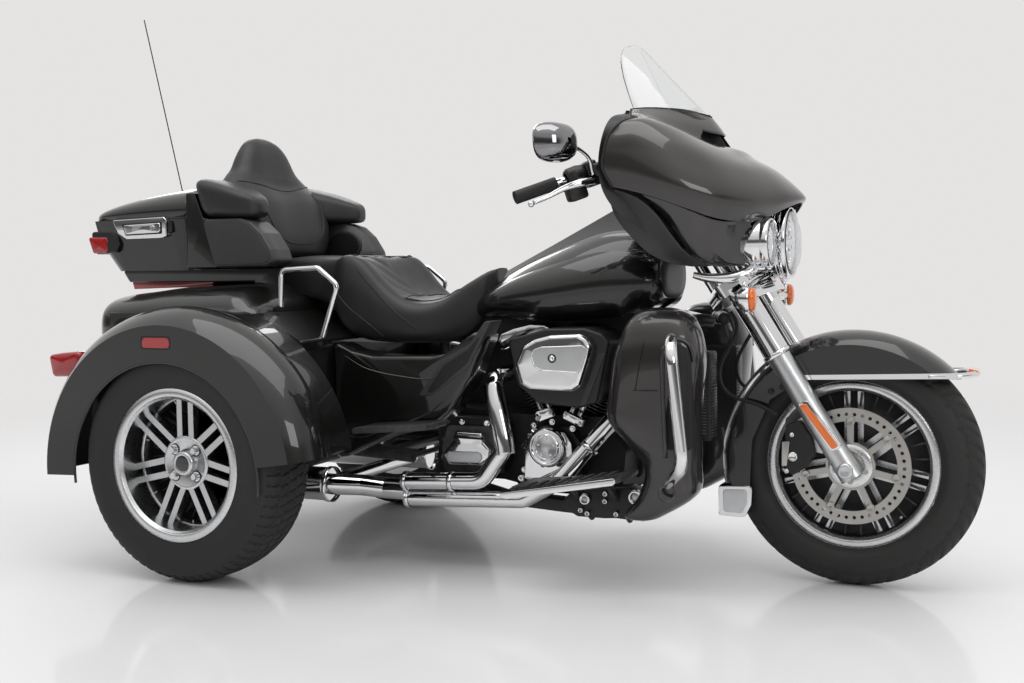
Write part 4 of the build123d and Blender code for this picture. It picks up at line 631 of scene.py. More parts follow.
def build_dials():
    face_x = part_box("dash")[0].x
    rims, faces = [], []
    for y, z, r in DIALS:
        centre = Vector((face_x - 0.001, y * MM, z * MM))
        rims.append(turned("rim", [(0, r * 1.16), (12, r * 1.12), (14, r * 1.04), (10, r), (0, r)], centre,
            (-1, 0, 0), "polished chrome", closed=True, body="steering"))
        faces.append(turned("face", [(3, 0), (3, r)], centre, (-1, 0, 0), "dial face", body="steering"))
        for tick in range(11):
            angle = math.radians(-130 + 26 * tick)
            ray = Vector((0, math.sin(angle), math.cos(angle))) * r * MM
            ends = [centre + Vector((-0.0045, 0, 0)) + ray * share for share in (0.78, 0.92)]
            rims.append(pipe("tick", ends, 0.8, "polished chrome", steps=1, sides=6, body="steering"))
    join("dial_rims", rims)
    join("dial_faces", faces)
    grilles = []
    for y, z, radius in SPEAKERS:
        centre = Vector((face_x - 0.001, y * MM, z * MM))
        for ring in range(6):
            r = radius * (1 - ring / 6.5)
            grilles.append(turned("ring", [(0, r), (6, r - 2), (6, r - 4), (0, r - 6)], centre, (-1, 0, 0),
                "black plastic", 40, closed=True, body="steering"))
    join("speaker_rings", grilles)
    rounded_box("radio_screen", Vector((face_x - 0.004, 0, 1.035)), (12, 170, 100), 4, "dial face",
        body="steering")


# ---- Lamps at the front ----
# (station of the face, side offset, height, radius, depth)
FRONT_LAMPS = ((1484, -152, 893, 64, 96), (1484, 152, 893, 64, 96), (1502, 0, 897, 97, 62))
DISH_STEPS = 8
LENS_WALL = 2.5


def lamp_profile(radius, depth):
    """A bullet shell from its rim back to its tail."""
    r, d = radius, depth
    return [(4, r * 0.90), (6, r * 0.97), (0, r), (-12, r), (-14, r * 0.965), (-18, r * 0.965),
        (-20, r * 0.99), (-d * 0.45, r * 0.95), (-d * 0.68, r * 0.80), (-d * 0.86, r * 0.56),
        (-d * 0.96, r * 0.28), (-d, 0)]


def build_front_lamps():
    aim = Vector((1, 0, 0))
    shells, bowls, lenses, dark = [], [], [], []
    for x, y, z, radius, depth in FRONT_LAMPS:
        face = at(x, y, z)
        shells.append(turned("shell", lamp_profile(radius, depth), face, aim, "polished chrome", 72,
            body="steering"))
        # Both the bowl and the lens are shallow dishes.
        shares = [k / DISH_STEPS for k in range(DISH_STEPS + 1)]
        bowl = [(-2, radius * 0.90)] + [(-2 - 34 * (1 - share ** 2), radius * 0.88 * share)
            for share in shares[::-1]]
        bowls.append(turned("bowl", bowl, face, aim, "lamp bowl", body="steering"))
        lens = [(4 + 8 * (1 - share ** 2), radius * 0.905 * share) for share in shares]
        lens += [(along - LENS_WALL, across) for along, across in lens[::-1]]
        lenses.append(turned("lens", lens, face, aim, "lamp glass", 72, body="steering"))
        if radius > 80:
            for rise in (-0.038, 0.038):
                spot = face + Vector((-0.008, 0, rise))
                ring = [(-18, 31), (4, 31), (6, 28), (2, 25.5), (-18, 25.5)]
                shells.append(turned("ring", ring, spot, aim, "polished chrome", 40, body="steering"))
                dark.append(turned("eye", [(-12, 26), (-4, 22), (1, 13), (3, 0)], spot, aim, "dial face", 32,
                    body="steering"))
            for side in BOTH_SIDES:
                for lift in (-0.014, 0.014):
                    bowls.append(rounded_box("led", face + Vector((-0.014, side * 0.050, lift)), (12, 30, 14),
                        3, "lamp bowl", body="steering"))
        else:
            ring = [(-26, 20), (-6, 20), (-4, 17), (-8, 14)]
            shells.append(turned("ring", ring, face, aim, "polished chrome", 32, body="steering"))
            dark.append(turned("eye", [(-14, 16), (-8, 10), (-6, 0)], face, aim, "dial face", 24,
                body="steering"))
    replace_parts(join("lamp_shells", shells), "headlamp", "passing_lamps")
    join("lamp_bowls", bowls)
    join("lamp_eyes", dark)
    join("lamp_lenses", lenses)
    amber, stems = [], []
    for side in BOTH_SIDES:
        face = at(1450, side * 228, 752)
        for along, parts, material in ((1, amber, "amber lens"), (-1, stems, "polished chrome")):
            rings = []
            profile = ([(0.0, 1.0), (0.007, 0.97), (0.012, 0.82), (0.015, 0.5), (0.0155, 0.02)] if along > 0
                else [(0.0, 1.0), (-0.010, 1.02), (-0.022, 0.90), (-0.034, 0.62), (-0.040, 0.03)])
            for depth, size in profile:
                rings.append([face + Vector((depth, 0.023 * size * math.cos(a), 0.031 * size * math.sin(a)))
                    for a in np.linspace(0, 2 * math.pi, 40, endpoint=False)])
            parts.append(loft_rings("signal", rings, material, "steering"))
        for rib in range(-2, 3):
            amber.append(pipe("rib", [face + Vector((0.0135 - 0.0006 * rib * rib, -0.018, rib * 0.009)),
                face + Vector((0.0160 - 0.0009 * rib * rib, 0, rib * 0.009)),
                face + Vector((0.0135 - 0.0006 * rib * rib, 0.018, rib * 0.009))], 1.2, "amber lens", steps=4,
                sides=8, body="steering"))
        stems.append(pipe("stem", [at(1436, side * 228, 772), at(1436, side * 228, 796)], 8,
            "polished chrome", steps=2, body="steering"))
    lens = join("signal_lenses", amber)
    join("signal_shells", stems)
    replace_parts(lens, "turn_signals")


# ---- Tyres ----
FRONT_RADIUS, REAR_RADIUS = 320, 323.5
FRONT_HUB = at(1670, 0, FRONT_RADIUS)


def rear_hub(side):
    return at(0, side * 583, REAR_RADIUS)


def wheel_ray(angle):
    """The direction from a wheel's centre at an angle from straight up."""
    return Vector((math.sin(angle), 0, math.cos(angle)))


def tyre_grid(centre, radius, half_width, tread_half, crown_drop, lip, rim_half, around, pattern):
    """A tyre's outer skin with its tread cut in by a pattern(angle, side) that gives the depth in metres."""
    shoulder = radius - crown_drop
    belly = (lip + shoulder) / 2
    side = curve_through([(rim_half + 1, lip, 0), (half_width - 4, lip + (belly - lip) * 0.42, 0),
        (half_width, belly, 0), (half_width - 5, belly + (shoulder - belly) * 0.62, 0),
        (tread_half, shoulder, 0)], 7)[:, :2]
    crown = [(tread_half * math.cos(a), shoulder + crown_drop * math.sin(a))
        for a in np.linspace(0, math.pi, 45)][1:-1]
    profile = [tuple(p) for p in side] + crown + [(-p[0], p[1]) for p in side[::-1]]
    grid = np.zeros((around, len(profile), 3))
    for i, angle in enumerate(round_steps(around)):
        for j, (y, r) in enumerate(profile):
            cut = pattern(angle, y / tread_half) if r > belly else 0.0
            rib = 0.0012 if abs(r - lip - 12) < 2.2 or abs(r - belly) < 1.4 else 0.0
            reach = r * MM - cut + rib
            grid[i, j] = (math.sin(angle) * reach, y * MM, math.cos(angle) * reach)
    return grid + np.array(centre)


# How many times each tread's pattern repeats round the tyre, and how deep it is cut, in metres
FRONT_REPEATS, REAR_REPEATS = 26, 68
BLOCK_CUT, SHOULDER_CUT, GROOVE_CUT = 0.0045, 0.0035, 0.006


def front_tread(angle, side):
    """Swept grooves that meet in a V on the centre line, with short ones at the shoulders."""
    if abs(side) > 1.16:
        return 0.0
    phase = (angle * FRONT_REPEATS / (2 * math.pi) + 0.55 * abs(side) ** 1.4) % 1.0
    if 0.05 < abs(side) < 1.02 and phase < 0.16:
        return BLOCK_CUT
    if 0.45 < abs(side) < 1.14 and 0.5 < phase < 0.62:
        return SHOULDER_CUT
    return 0.0


def rear_tread(angle, side):
    """Four straight grooves with slanted sipes between them and cut shoulders."""
    reach = abs(side)
    if any(abs(reach - groove) < 0.045 for groove in (0.22, 0.66)):
        return GROOVE_CUT
    slant = 0.35 if reach < 0.66 else 0.10
    phase = (angle * REAR_REPEATS / (2 * math.pi) + slant * side * 2) % 1.0
    if reach < 1.12 and phase < (0.24 if reach > 0.7 else 0.16):
        return BLOCK_CUT
    return 0.0


def build_tyres():
    tyres = [("front_tyre", "front_wheel", tyre_grid(FRONT_HUB, FRONT_RADIUS, 65, 50, 34, 218.7, 45, 520,
        front_tread))]
    for side, word in SIDE_WORDS.items():
        tyres.append((f"rear_tyre_{word}", f"rear_wheel_{word}", tyre_grid(rear_hub(side), REAR_RADIUS, 102.5,
            80, 14, 208.7, 94, 680, rear_tread)))
    for name, body, grid in tyres:
        around, count = grid.shape[:2]
        faces = []
        for i in range(around):
            k = (i + 1) % around
            faces += [(i * count + j, i * count + j + 1, k * count + j + 1, k * count + j)
                for j in range(count - 1)]
        made = piece(f"{name}_tread", grid.reshape(-1, 3), faces, "tyre rubber", body)
        modify(made, "EDGE_SPLIT", split_angle=math.radians(42))
        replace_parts(made, name)


# ---- Wheels ----
def build_wheels():
    for side, word in SIDE_WORDS.items():
        body = f"rear_wheel_{word}"
        hub = rear_hub(side)
        out = Vector((0, side, 0))
        black = [turned("drum", [(-52, 0), (-52, 150), (-20, 176.2), (6, 177), (6, 174.5), (-20, 173.5),
            (-50, 140)], hub, out, "satin black", 72, body=body)]
        bright = []
        for tick, angle in enumerate(round_steps(42, 0.5)):
            ray = wheel_ray(angle)
            black.append(pipe("rib", [hub + ray * 0.118 - out * 0.048, hub + ray * 0.170 - out * 0.022], 2.8,
                "satin black", steps=1, sides=6, body=body))
            if (tick % 6) in (0, 3, 5):
                bright.append(pipe("tick", [hub + ray * 0.1655 + out * 0.004,
                    hub + ray * 0.1755 + out * 0.006], 2.2, "machined alloy", steps=1, sides=6, body=body))
        # A step between the deep lip and the barrel, the cap and its four nuts
        bright.append(turned("step", [(6, 177.5), (12, 178.2), (13, 176.8), (8, 174.8), (6, 174.8)], hub, out,
            "machined alloy", 96, closed=True, body=body))
        bright.append(turned("lip", [(94, 183.5), (95.5, 190), (95.5, 206.8), (92.5, 208.2), (89, 207.5),
            (89, 186)], hub, out, "machined alloy", 96, closed=True, body=body))
        face = hub + out * 0.042
        bright.append(turned("hub_face", [(0, 73.8), (3, 72.2), (4, 66), (2.2, 64), (2.2, 0)], face, out,
            "machined alloy", 72, body=body))
        bright.append(turned("cap", [(9, 34), (16, 32.5), (18.5, 28), (18.5, 23.5), (17.2, 22), (17.2, 0)],
            face, out, "machined alloy", body=body))
        black.append(turned("cap_inset", [(17.6, 21.5), (18.2, 18), (18.6, 0)], face, out, "dial face",
            body=body))
        for angle in round_steps(4, 0.5):
            spot = face + wheel_ray(angle) * 0.050
            black.append(turned("well", [(2.6, 16.5), (3.4, 15), (2.6, 13.5)], spot, out, "satin black", 24,
                body=body))
            bright.append(hex_bolt("nut", spot + out * 0.002, out, 9.8, 15, "polished chrome", body))
        join(f"rear_wheel_{word}_black", black)
        join(f"rear_wheel_{word}_bright", bright)
    hub = FRONT_HUB
    black, bright, steel = [], [], []
    for side in BOTH_SIDES:
        out = Vector((0, side, 0))
        black.append(turned("pocket", [(0, 44), (1, 120), (2, 186), (24, 189.5), (26, 191.5)], hub, out,
            "satin black", 72, body="front_wheel"))
        bright.append(turned("lip", [(44.5, 196), (46.2, 200), (46.2, 216.5), (43.5, 218), (41, 217.2),
            (41, 198)], hub, out, "machined alloy", 96, closed=True, body="front_wheel"))
        for angle in round_steps(7):
            steel.append(turned("bobbin", [(0, 10.5), (4.2, 10.5), (5, 8.5), (4.2, 6), (4.2, 0)],
                hub + wheel_ray(angle) * 0.116 + out * 0.070, out, "brushed steel", 20, body="front_wheel"))
        for angle in round_steps(5, 0.5):
            steel.append(hex_bolt("bolt", hub + wheel_ray(angle) * 0.040 + out * 0.0702, out, 7.2, 7,
                "brushed steel", "front_wheel"))
        bright.append(turned("hub_ring", [(70.6, 56), (72.2, 55), (72.2, 30), (70.6, 28)], hub, out,
            "machined alloy", 56, closed=True, body="front_wheel"))
    for angle in round_steps(28, 0.5):
        ray = wheel_ray(angle)
        for side in BOTH_SIDES:
            black.append(pipe("rib", [hub + ray * 0.150 + Vector((0, side * 0.017, 0)),
                hub + ray * 0.187 + Vector((0, side * 0.026, 0))], 2.6, "satin black", steps=1, sides=6,
                body="front_wheel"))
    valve = hub + wheel_ray(2.4) * 0.178
    steel.append(pipe("valve", [valve + Vector((0, -0.018, 0)), valve + Vector((0, -0.036, 0))], 4.2,
        "brushed steel", steps=2, body="front_wheel"))
    join("front_wheel_black", black)
    join("front_wheel_bright", bright)
    join("front_wheel_fittings", steel)


# ---- Seat ----
# (station, half width, underside, height at the side seam, height at the shoulder, height in the middle)
SEAT_SECTIONS = (
    (-46, 120, 772, 800, 850, 864), (-20, 150, 768, 800, 872, 880), (30, 160, 760, 800, 878, 886),
    (90, 165, 752, 798, 878, 886), (150, 168, 738, 792, 876, 882), (196, 180, 706, 780, 874, 880),
    (222, 196, 676, 776, 882, 884), (250, 206, 655, 770, 882, 878), (285, 210, 640, 752, 872, 852),
    (320, 208, 632, 736, 842, 818), (360, 204, 628, 716, 800, 786), (405, 196, 626, 698, 764, 762),
    (450, 186, 625, 690, 746, 752), (495, 170, 625, 690, 744, 756), (535, 148, 626, 698, 756, 770),
    (570, 126, 634, 712, 780, 790), (605, 104, 656, 736, 804, 812), (640, 80, 700, 772, 826, 832),
    (664, 44, 756, 806, 836, 840),
)


def seat_ring(x, half, low, seam, shoulder, middle):
    """One cross-section of the seat, from under its right side over the top and back underneath."""
    right = [(0, low), (-half * 0.5, low), (-half * 0.86, low + 3), (-half * 0.975,
        low + (seam - low) * 0.35), (-half, seam - (seam - low) * 0.12),
        (-half * 0.985, seam + (shoulder - seam) * 0.45), (-half * 0.90, shoulder - 8),
        (-half * 0.74, shoulder + 1), (-half * 0.50, (shoulder + middle) / 2 + 1),
        (-half * 0.24, middle * 0.9 + shoulder * 0.1)]
    points = right + [(0, middle)] + [(-y, z) for y, z in right[:0:-1]]
    dense = curve_through([(y, z, 0) for y, z in points], 6, closed=True)[:, :2]
    return [at(x, y, z) for y, z in dense]


def seat_surface():
    return smooth_rings([seat_ring(*section) for section in SEAT_SECTIONS], 8)


def gathers(grid):
    """Presses the soft pleats of the rider's insert and the seams between its panels into the surface."""
    rows, columns = grid.shape[:2]
    for i in range(rows):
        for j in range(columns):
            x, y, z = grid[i, j]
            station = (x - REAR_AXLE_X) / MM
            side = abs(y) / MM
            if z < 0.70:
                continue
            inside = max(0.0, 1 - ((station - 318) / 100) ** 4) * max(0.0, 1 - (side / 150) ** 4)
            if inside > 0:
                fan = math.sin(side * 0.075 + (station - 250) * 0.090 + 0.8 * math.sin(side * 0.04))
                grid[i, j, 2] += 0.0021 * fan * min(1.0, inside * 1.5)
            # The insert is sunk a little inside its welt.
            grid[i, j, 2] -= 0.004 * min(1.0, inside * 3)
    return grid


def surface_track(surface, places, lift=0.0):
    """The nearest points of a surface to the given places, raised by a lift in metres."""
    flat = surface.reshape(-1, 3)
    track = []
    for x, y, z in places:
        goal = np.array(at(x, y, z))
        nearest = np.argsort(((flat - goal) ** 2).sum(1))[:4]
        weights = 1 / (np.linalg.norm(flat[nearest] - goal, axis=1) + 1e-5)
        point = (flat[nearest] * weights[:, None]).sum(0) / weights.sum()
        track.append(Vector(point) + Vector((0, 0, lift)))
    return track


# Seams as (station, side offset, rough height); each is repeated on the left
SEAT_SEAMS = (
    ((204, -178, 800), (216, -190, 778), (240, -204, 752), (275, -210, 722), (320, -208, 690),
     (352, -205, 662), (372, -202, 640)),
    ((262, -140, 884), (262, -168, 868), (290, -188, 838), (330, -196, 796), (372, -194, 752),
     (410, -190, 716), (444, -186, 690), (470, -178, 664)),
    ((262, -140, 884), (240, -100, 885), (232, -50, 882), (230, 0, 880)),
    ((420, -150, 756), (470, -120, 752), (520, -105, 764), (566, -104, 780), (590, -108, 776)),
    ((420, -150, 756), (405, -90, 760), (400, -40, 762), (398, 0, 762)),
)


def build_seat():
    grid = gathers(seat_surface())
    seat = loft_rings("seat_cover", grid, "black leather")
    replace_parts(seat, "seat")
    welts, threads = [], []
    for seam in SEAT_SEAMS:
        for side in (1, -1):
            track = surface_track(grid, [(x, y * side, z) for x, y, z in seam], 0.0004)
            welts.append(pipe("welt", track, 2, "ribbed leather", steps=10, sides=8))
            path = curve_through(track, 30)
            for k in range(0, len(path) - 2, 3):
                ahead = Vector(path[k + 1]) - Vector(path[k])
                if ahead.length < 1e-6:
                    continue
                aside = ahead.cross(Vector((0, 0, 1)))
                aside = aside.normalized() * 0.0042 if aside.length > 1e-9 else Vector((0.004, 0, 0))
                threads.append(pipe("stitch", [Vector(path[k]) + aside, Vector(path[k + 1]) + aside], 0.6,
                    "stitch thread", steps=1, sides=5))
    join("seat_welts", welts)
    join("seat_stitches", threads)


# ---- Backrest ----
# (height, station of the back, station of the front, half width)
BACKREST_SECTIONS = (
    (886, -128, -46, 172), (905, -130, -36, 186), (950, -138, -32, 202), (1000, -150, -40, 216),
    (1050, -172, -58, 224), (1085, -196, -84, 222), (1111, -216, -108, 204), (1135, -222, -120, 172),
    (1157, -222, -126, 144), (1193, -218, -134, 121), (1217, -213, -141, 104), (1240, -209, -152, 80),
    (1254, -205, -164, 52), (1261, -198, -174, 24),
)
# (station, inner side offset, outer side offset, underside, top) of the arm pads round the passenger
ARM_SECTIONS = (
    (-214, 150, 268, 1012, 1096), (-204, 140, 304, 1002, 1112), (-176, 132, 328, 998, 1118),
    (-130, 136, 334, 997, 1108), (-76, 162, 336, 996, 1092), (-30, 200, 332, 996, 1075),
    (0, 226, 322, 998, 1062), (16, 242, 306, 1003, 1050), (25, 254, 290, 1012, 1036),
)
ARM_LEAN = 0.34


def build_backrest():
    rings = []
    for z, back, front, half in BACKREST_SECTIONS:
        ring = []
        for angle in round_steps(64):
            c = math.cos(angle)
            across = bent(math.sin(angle), 0.62) * half
            x = (front + back) / 2 + bent(c, 0.75) * (front - back) / 2
            # The front face is hollowed a little up its middle.
            if c > 0:
                x -= 10 * math.exp(-(across / 62) ** 2) * c * (1 if z < 1130 else 0.3)
            ring.append(at(x, across, z))
        rings.append(ring)
    pad = loft_rings("backrest_pad", smooth_rings(rings, 6), "black leather")
    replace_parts(pad, "backrest")
    for side in BOTH_SIDES:
        rings = []
        for x, inner, outer, low, high in ARM_SECTIONS:
            ring = []
            for angle in round_steps(40):
                y = (inner + outer) / 2 + bent(math.cos(angle), 0.45) * (outer - inner) / 2
                z = (low + high) / 2 + bent(math.sin(angle), 0.5) * (high - low) / 2
                lean = ARM_LEAN * min(max((-40 - x) / 140, 0), 1) * (1104 - z)
                ring.append(at(x + lean, side * y, z))
            rings.append(ring)
        arm = loft_rings(f"backrest_arm_{SIDE_WORDS[side]}", smooth_rings(rings, 6), "black leather")
    welts = []
    surface = np.array([tuple(v.co) for v in pad.data.vertices])
    # The seam round the lumbar pad, up to the head hump
    for side in (1, -1):
        for seam in ([(-84, 0, 1112), (-84, -60, 1116), (-86, -120, 1128), (-96, -180, 1146),
                (-110, -214, 1158)], [(-40, 0, 926), (-42, -70, 932), (-46, -124, 962), (-52, -150, 1010),
                (-64, -160, 1062), (-78, -150, 1104)]):
            track = surface_track(surface, [(x, y * side, z) for x, y, z in seam])
            welts.append(pipe("welt", track, 2.2, "ribbed leather", sides=8))
    join("backrest_welts", welts)


# ---- Plates and domed covers ----
def rounded_outline(points, radius, steps=4):
    """A closed outline with its corners rounded."""
    corners = [Vector((*p, 0.0)) for p in points]
    out = []
    for i, corner in enumerate(corners):
        before = corners[i - 1] - corner
        after = corners[(i + 1) % len(corners)] - corner
        reach = min(radius / math.tan(before.angle(after) / 2), 0.45 * before.length, 0.45 * after.length)
        start = corner + before.normalized() * reach
        end = corner + after.normalized() * reach
        for j in range(steps + 1):
            t = j / steps
            out.append(start * (1 - t) ** 2 + corner * 2 * t * (1 - t) + end * t * t)
    return [(p.x, p.y) for p in out]


def drawn_in(outline, centre, share):
    """An outline scaled about a centre."""
    return [(centre[0] + (u - centre[0]) * share, centre[1] + (v - centre[1]) * share) for u, v in outline]


def strip(left, right, low, high):
    """The outline of an upright rectangle."""
    return ((left, low), (right, low), (right, high), (left, high))


def on_side(y, hand=RIGHT):
    """Places a side outline's (station, height) at a side offset, its depth going outwards."""
    return lambda u, v, depth: at(u, hand * (y + depth), v)


def on_plane(origin, across, up):
    """Places an outline on a tilted plane, its depth along the plane's normal. All in millimetres."""
    across, up = Vector(across).normalized(), Vector(up)
    up = (up - across * up.dot(across)).normalized()
    normal = across.cross(up)
    return lambda u, v, depth: at(*(Vector(origin) + across * u + up * v + normal * depth))


def add_mirror(vertices, faces):
    count = len(vertices)
    vertices = list(vertices) + [Vector((v.x, -v.y, v.z)) for v in vertices]
    return vertices, list(faces) + [tuple(i + count for i in reversed(face)) for face in faces]


def slab(name, outline, place, thickness, material, radius, edge, mirrored=False, body="chassis"):
    """A plate cut to an outline, with rounded corners and edges. Sizes are millimetres."""
    rim = rounded_outline(outline, radius) if radius else outline
    count = len(rim)
    vertices = [place(u, v, depth) for depth in (0, thickness) for u, v in rim]
    faces = [tuple(range(count))[::-1], tuple(range(count, 2 * count))]
    faces += [(i, (i + 1) % count, count + (i + 1) % count, count + i) for i in range(count)]
    if mirrored:
        vertices, faces = add_mirror(vertices, faces)
    made = piece(name, vertices, faces, material, body)
    if edge:
        bevel(made, edge, segments=3)
    return made


def dome(name, outline, place, thickness, crown, material, radius, edge, mirrored=False, body="chassis"):
    """A cover with a rounded rim and a crowned face. Sizes are millimetres."""
    rim = rounded_outline(outline, radius)
    middle = (sum(u for u, v in rim) / len(rim), sum(v for u, v in rim) / len(rim))
    span = max(math.dist(p, middle) for p in rim)
    rings = [(1.0, 0.0), (1.0, thickness - edge)]
    for j in (1, 2, 3, 4):
        angle = math.pi / 2 * j / 4
        rings.append((1 - edge / span * (1 - math.cos(angle)), thickness - edge + edge * math.sin(angle)))
    shoulder = rings[-1][0]
    rings += [(shoulder * s, thickness + crown * (1 - s * s)) for s in (0.92, 0.8, 0.62, 0.42, 0.2)]
    vertices = [place(middle[0] + (u - middle[0]) * s, middle[1] + (v - middle[1]) * s, depth)
        for s, depth in rings for u, v in rim]
    faces = grid_faces(len(rings), len(rim), wrap=True)
    faces += [tuple(range(len(rim)))[::-1], tuple(range((len(rings) - 1) * len(rim), len(rings) * len(rim)))]
    if mirrored:
        vertices, faces = add_mirror(vertices, faces)
    return piece(name, vertices, faces, material, body)


def skin_tree(made):
    """The surface of a piece, for laying trim on it."""
    return BVHTree.FromPolygons([v.co for v in made.data.vertices], [p.vertices for p in made.data.polygons])


def lay_on(tree, points, direction, lift):
    """Moves points along a direction until they lie on a surface, raised by a lift in metres."""
    out = []
    for point in points:
        hit, normal, _, _ = tree.ray_cast(point, Vector(direction))
        if hit is not None:
            facing = normal if normal.dot(Vector(direction)) < 0 else -normal
            out.append(hit + facing * lift)
    return out


# ---- Top box ----
# (station, half width, crown height) of the lid from its nose to its front
LID_ROWS = ((-634, 172, 1009), (-629, 224, 1020), (-612, 264, 1031), (-580, 290, 1045), (-520, 304, 1063),
    (-440, 309, 1080), (-360, 310, 1092), (-300, 309, 1099), (-250, 306, 1103), (-236, 300, 1102))
LID_EDGE_Z = 1006
LID_SQUARENESS = 0.62


def crowned_grid(table, columns, edge_z, squareness, steps):
    """A smooth skin over rows of (station, half width, crown height), down to one edge height."""
    rows = []
    for station, half, crown in table:
        row = []
        for angle in (-math.pi / 2 + math.pi * j / (columns - 1) for j in range(columns)):
            rise = max(math.cos(angle), 0.0) ** squareness
            row.append(at(station, half * bent(math.sin(angle), squareness),
                edge_z + (crown - edge_z) * rise))
        rows.append(row)
    return smooth_rings(rows, steps)


def build_top_box():
    grid = crowned_grid(LID_ROWS, 33, LID_EDGE_Z, LID_SQUARENESS, 4)
    nose = grid[0].copy()
    nose[:, 2] = LID_EDGE_Z * MM
    front = grid[-1].copy()
    front[:, 2] = LID_EDGE_Z * MM
    front[:, 0] += 3 * MM
    grid = np.concatenate((nose[None], grid, front[None]))
    lid = sheet_piece("top_box_lid_shell", grid, 4, "shade-darkened paint", "top_box_lid", offset=1.0)
    # The lip round the lid's edge, and the hinge's knuckles on its left side.
    edge = [Vector(p) for p in grid[1:-1, 0]] + [Vector(p) for p in grid[-1, 4:-4:4]]
    edge += [Vector(p) for p in grid[1:-1, -1][::-1]] + [Vector(p) for p in grid[0, 4:-4:4][::-1]]
    lip = pipe("top_box_lid_lip", edge[::2], 4.2, "shade-darkened paint", steps=3, sides=10, closed=True,
        body="top_box_lid")
    knuckles = [turned(f"knuckle_{i}", [(0, 4.3), (0, 7.5), (38, 7.5), (38, 4.3)], at(x, 324, 1002),
        (1, 0, 0), "shade-darkened paint", 24, closed=True, body="top_box_lid")
        for i, x in enumerate((-549, -359))]
    join("top_box_lid_trim", [lip, *knuckles])
    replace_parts(lid, "top_box_lid")

    # The tray that carries the box, in the paint darkened as painted shade, and the red strip below it.
    reshaped("top_box", "top_box_shell", box_tail)
    slab("top_box_tray", ((-536, 849), (-508, 811), (-66, 811), (-66, 849)), on_side(-256), 512,
        "shade-darkened paint", 9, 4)
    carrier = slab("top_box_carrier", ((-528, 849), (-504, 811), (-30, 808), (-8, 756), (14, 744), (44, 748),
        (62, 790), (66, 852)), on_side(236), 24, "shade-darkened paint", 10, 4, mirrored=True)
    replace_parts(carrier, "box_mounts")
    slab("top_box_reflector", ((-507, 812), (-500, 789), (-200, 797), (-188, 812)), on_side(-244), 488,
        "red lens", 3, 1.5)
    slab("top_box_rear_panel", ((-580, 882), (-608, 972), (-600, 976), (-572, 886)), on_side(-120), 240,
        "black plastic", 2, 1.5)

    # The latch: a bright plate with a sunk lever on the right side.
    plate = slab("lid_latch_plate", ((-516, 1003), (-316, 1008), (-306, 1000), (-306, 950), (-320, 945),
        (-462, 944), (-494, 962)), on_side(285), 31, "polished chrome", 6, 2.5)
    # The well under the lever is a dark sheet: painted shade.
    slab("lid_latch_well", ((-478, 990), (-322, 994), (-322, 957), (-462, 954)), on_side(314), 3.2,
        "seam black and painted shade", 5, 0.5)
    dome("lid_latch_lever", ((-470, 986), (-326, 990), (-326, 961), (-458, 958)), on_side(315), 7, 2,
        "polished chrome", 7, 3)
    dome("lid_latch_thumb", ((-440, 984), (-380, 986), (-380, 966), (-440, 964)), on_side(319), 4, 1,
        "satin alloy", 9, 2)
    turned("lid_latch_lock", [(0, 0), (0, 9), (5, 9), (6.5, 7), (4.5, 5), (4.5, 0)], at(-352, -322, 975),
        (0, -1, 0), "brushed steel", 32)
    slab("lid_latch_catch", ((-304, 996), (-288, 992), (-288, 962), (-304, 958)), on_side(285), 26,
        "black plastic", 3, 1)
    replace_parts(plate, "lid_latch")


def build_tail_lamps():
    """The lenses at the box's corners, each in its dark housing, and the lenses behind the fenders."""
    parts = []
    housings = []
    for hand in BOTH_SIDES:
        housings.append(dome("h", ((-617, 971), (-535, 969), (-506, 952), (-501, 927), (-514, 904),
            (-600, 899)), on_side(206, hand), 97, 0, "black plastic", 12, 8))
        parts.append(dome("l", ((-626, 954), (-548, 952), (-548, 904), (-606, 902)), on_side(200, hand), 106,
            2, "red lens", 8, 6))
    lenses = [dome("l", ((-522, 606), (-470, 613), (-402, 618), (-402, 545), (-508, 541)), on_side(500, hand),
        92, 4, "red lens", 14, 14) for hand in BOTH_SIDES]
    lamps = join("tail_lamp_lenses", parts + lenses)
    join("tail_lamp_housings", housings)
    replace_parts(lamps, "rear_lamps")
    markers = []
    rims = []
    marker = ((-80, 639), (14, 639), (14, 667), (-80, 667))
    rim = ((-85, 634), (19, 634), (19, 672), (-85, 672))
    for hand in BOTH_SIDES:
        markers.append(dome("m", marker, on_side(690, hand), 5.3, 0, "red lens", 10, 2.5))
        rims.append(dome("r", rim, on_side(688, hand), 7.1, 0, "black plastic", 13, 1.5))
    join("side_marker_lenses", markers)
    join("side_marker_rims", rims)


# ---- Speaker pods, side covers and trunk trim ----
def build_pods():
    panel = ((-168, 996), (-30, 996), (8, 984), (48, 950), (80, 902), (92, 864), (60, 853), (-122, 852),
        (-148, 930))
    pods = dome("speaker_pod_shells", panel, on_side(232), 94, 3, "matte grey plastic", 18, 12, mirrored=True)
    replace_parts(pods, "speaker_pods")
    inner = drawn_in(panel, (-30, 925), 0.88)
    slab("speaker_pod_seams", inner, on_side(325), 3, "matte grey plastic", 16, 1.2, mirrored=True)
    rims, nets, blocks = [], [], []
    for hand in BOTH_SIDES:
        inward = on_side(-234, -hand)
        oval = [(math.cos(angle), math.sin(angle)) for angle in round_steps(20)]
        rims.append(dome("r", [(-22 + 68 * c, 922 + 50 * s) for c, s in oval], inward, 8, 0,
            "matte grey plastic", 9, 5))
        nets.append(dome("n", [(-22 + 60 * c, 922 + 43 * s) for c, s in oval], inward, 9, 0.5,
            "black plastic", 8, 2))
        blocks.append(slab("b", ((-231, 1076), (-200, 1076), (-168, 998), (-150, 998), (-104, 852),
            (-234, 852)), on_side(228, hand), 86, "shade-darkened paint", 8, 3))
    join("top_box_front_corners", blocks)
    join("speaker_rims", rims)
    join("speaker_grilles", nets)


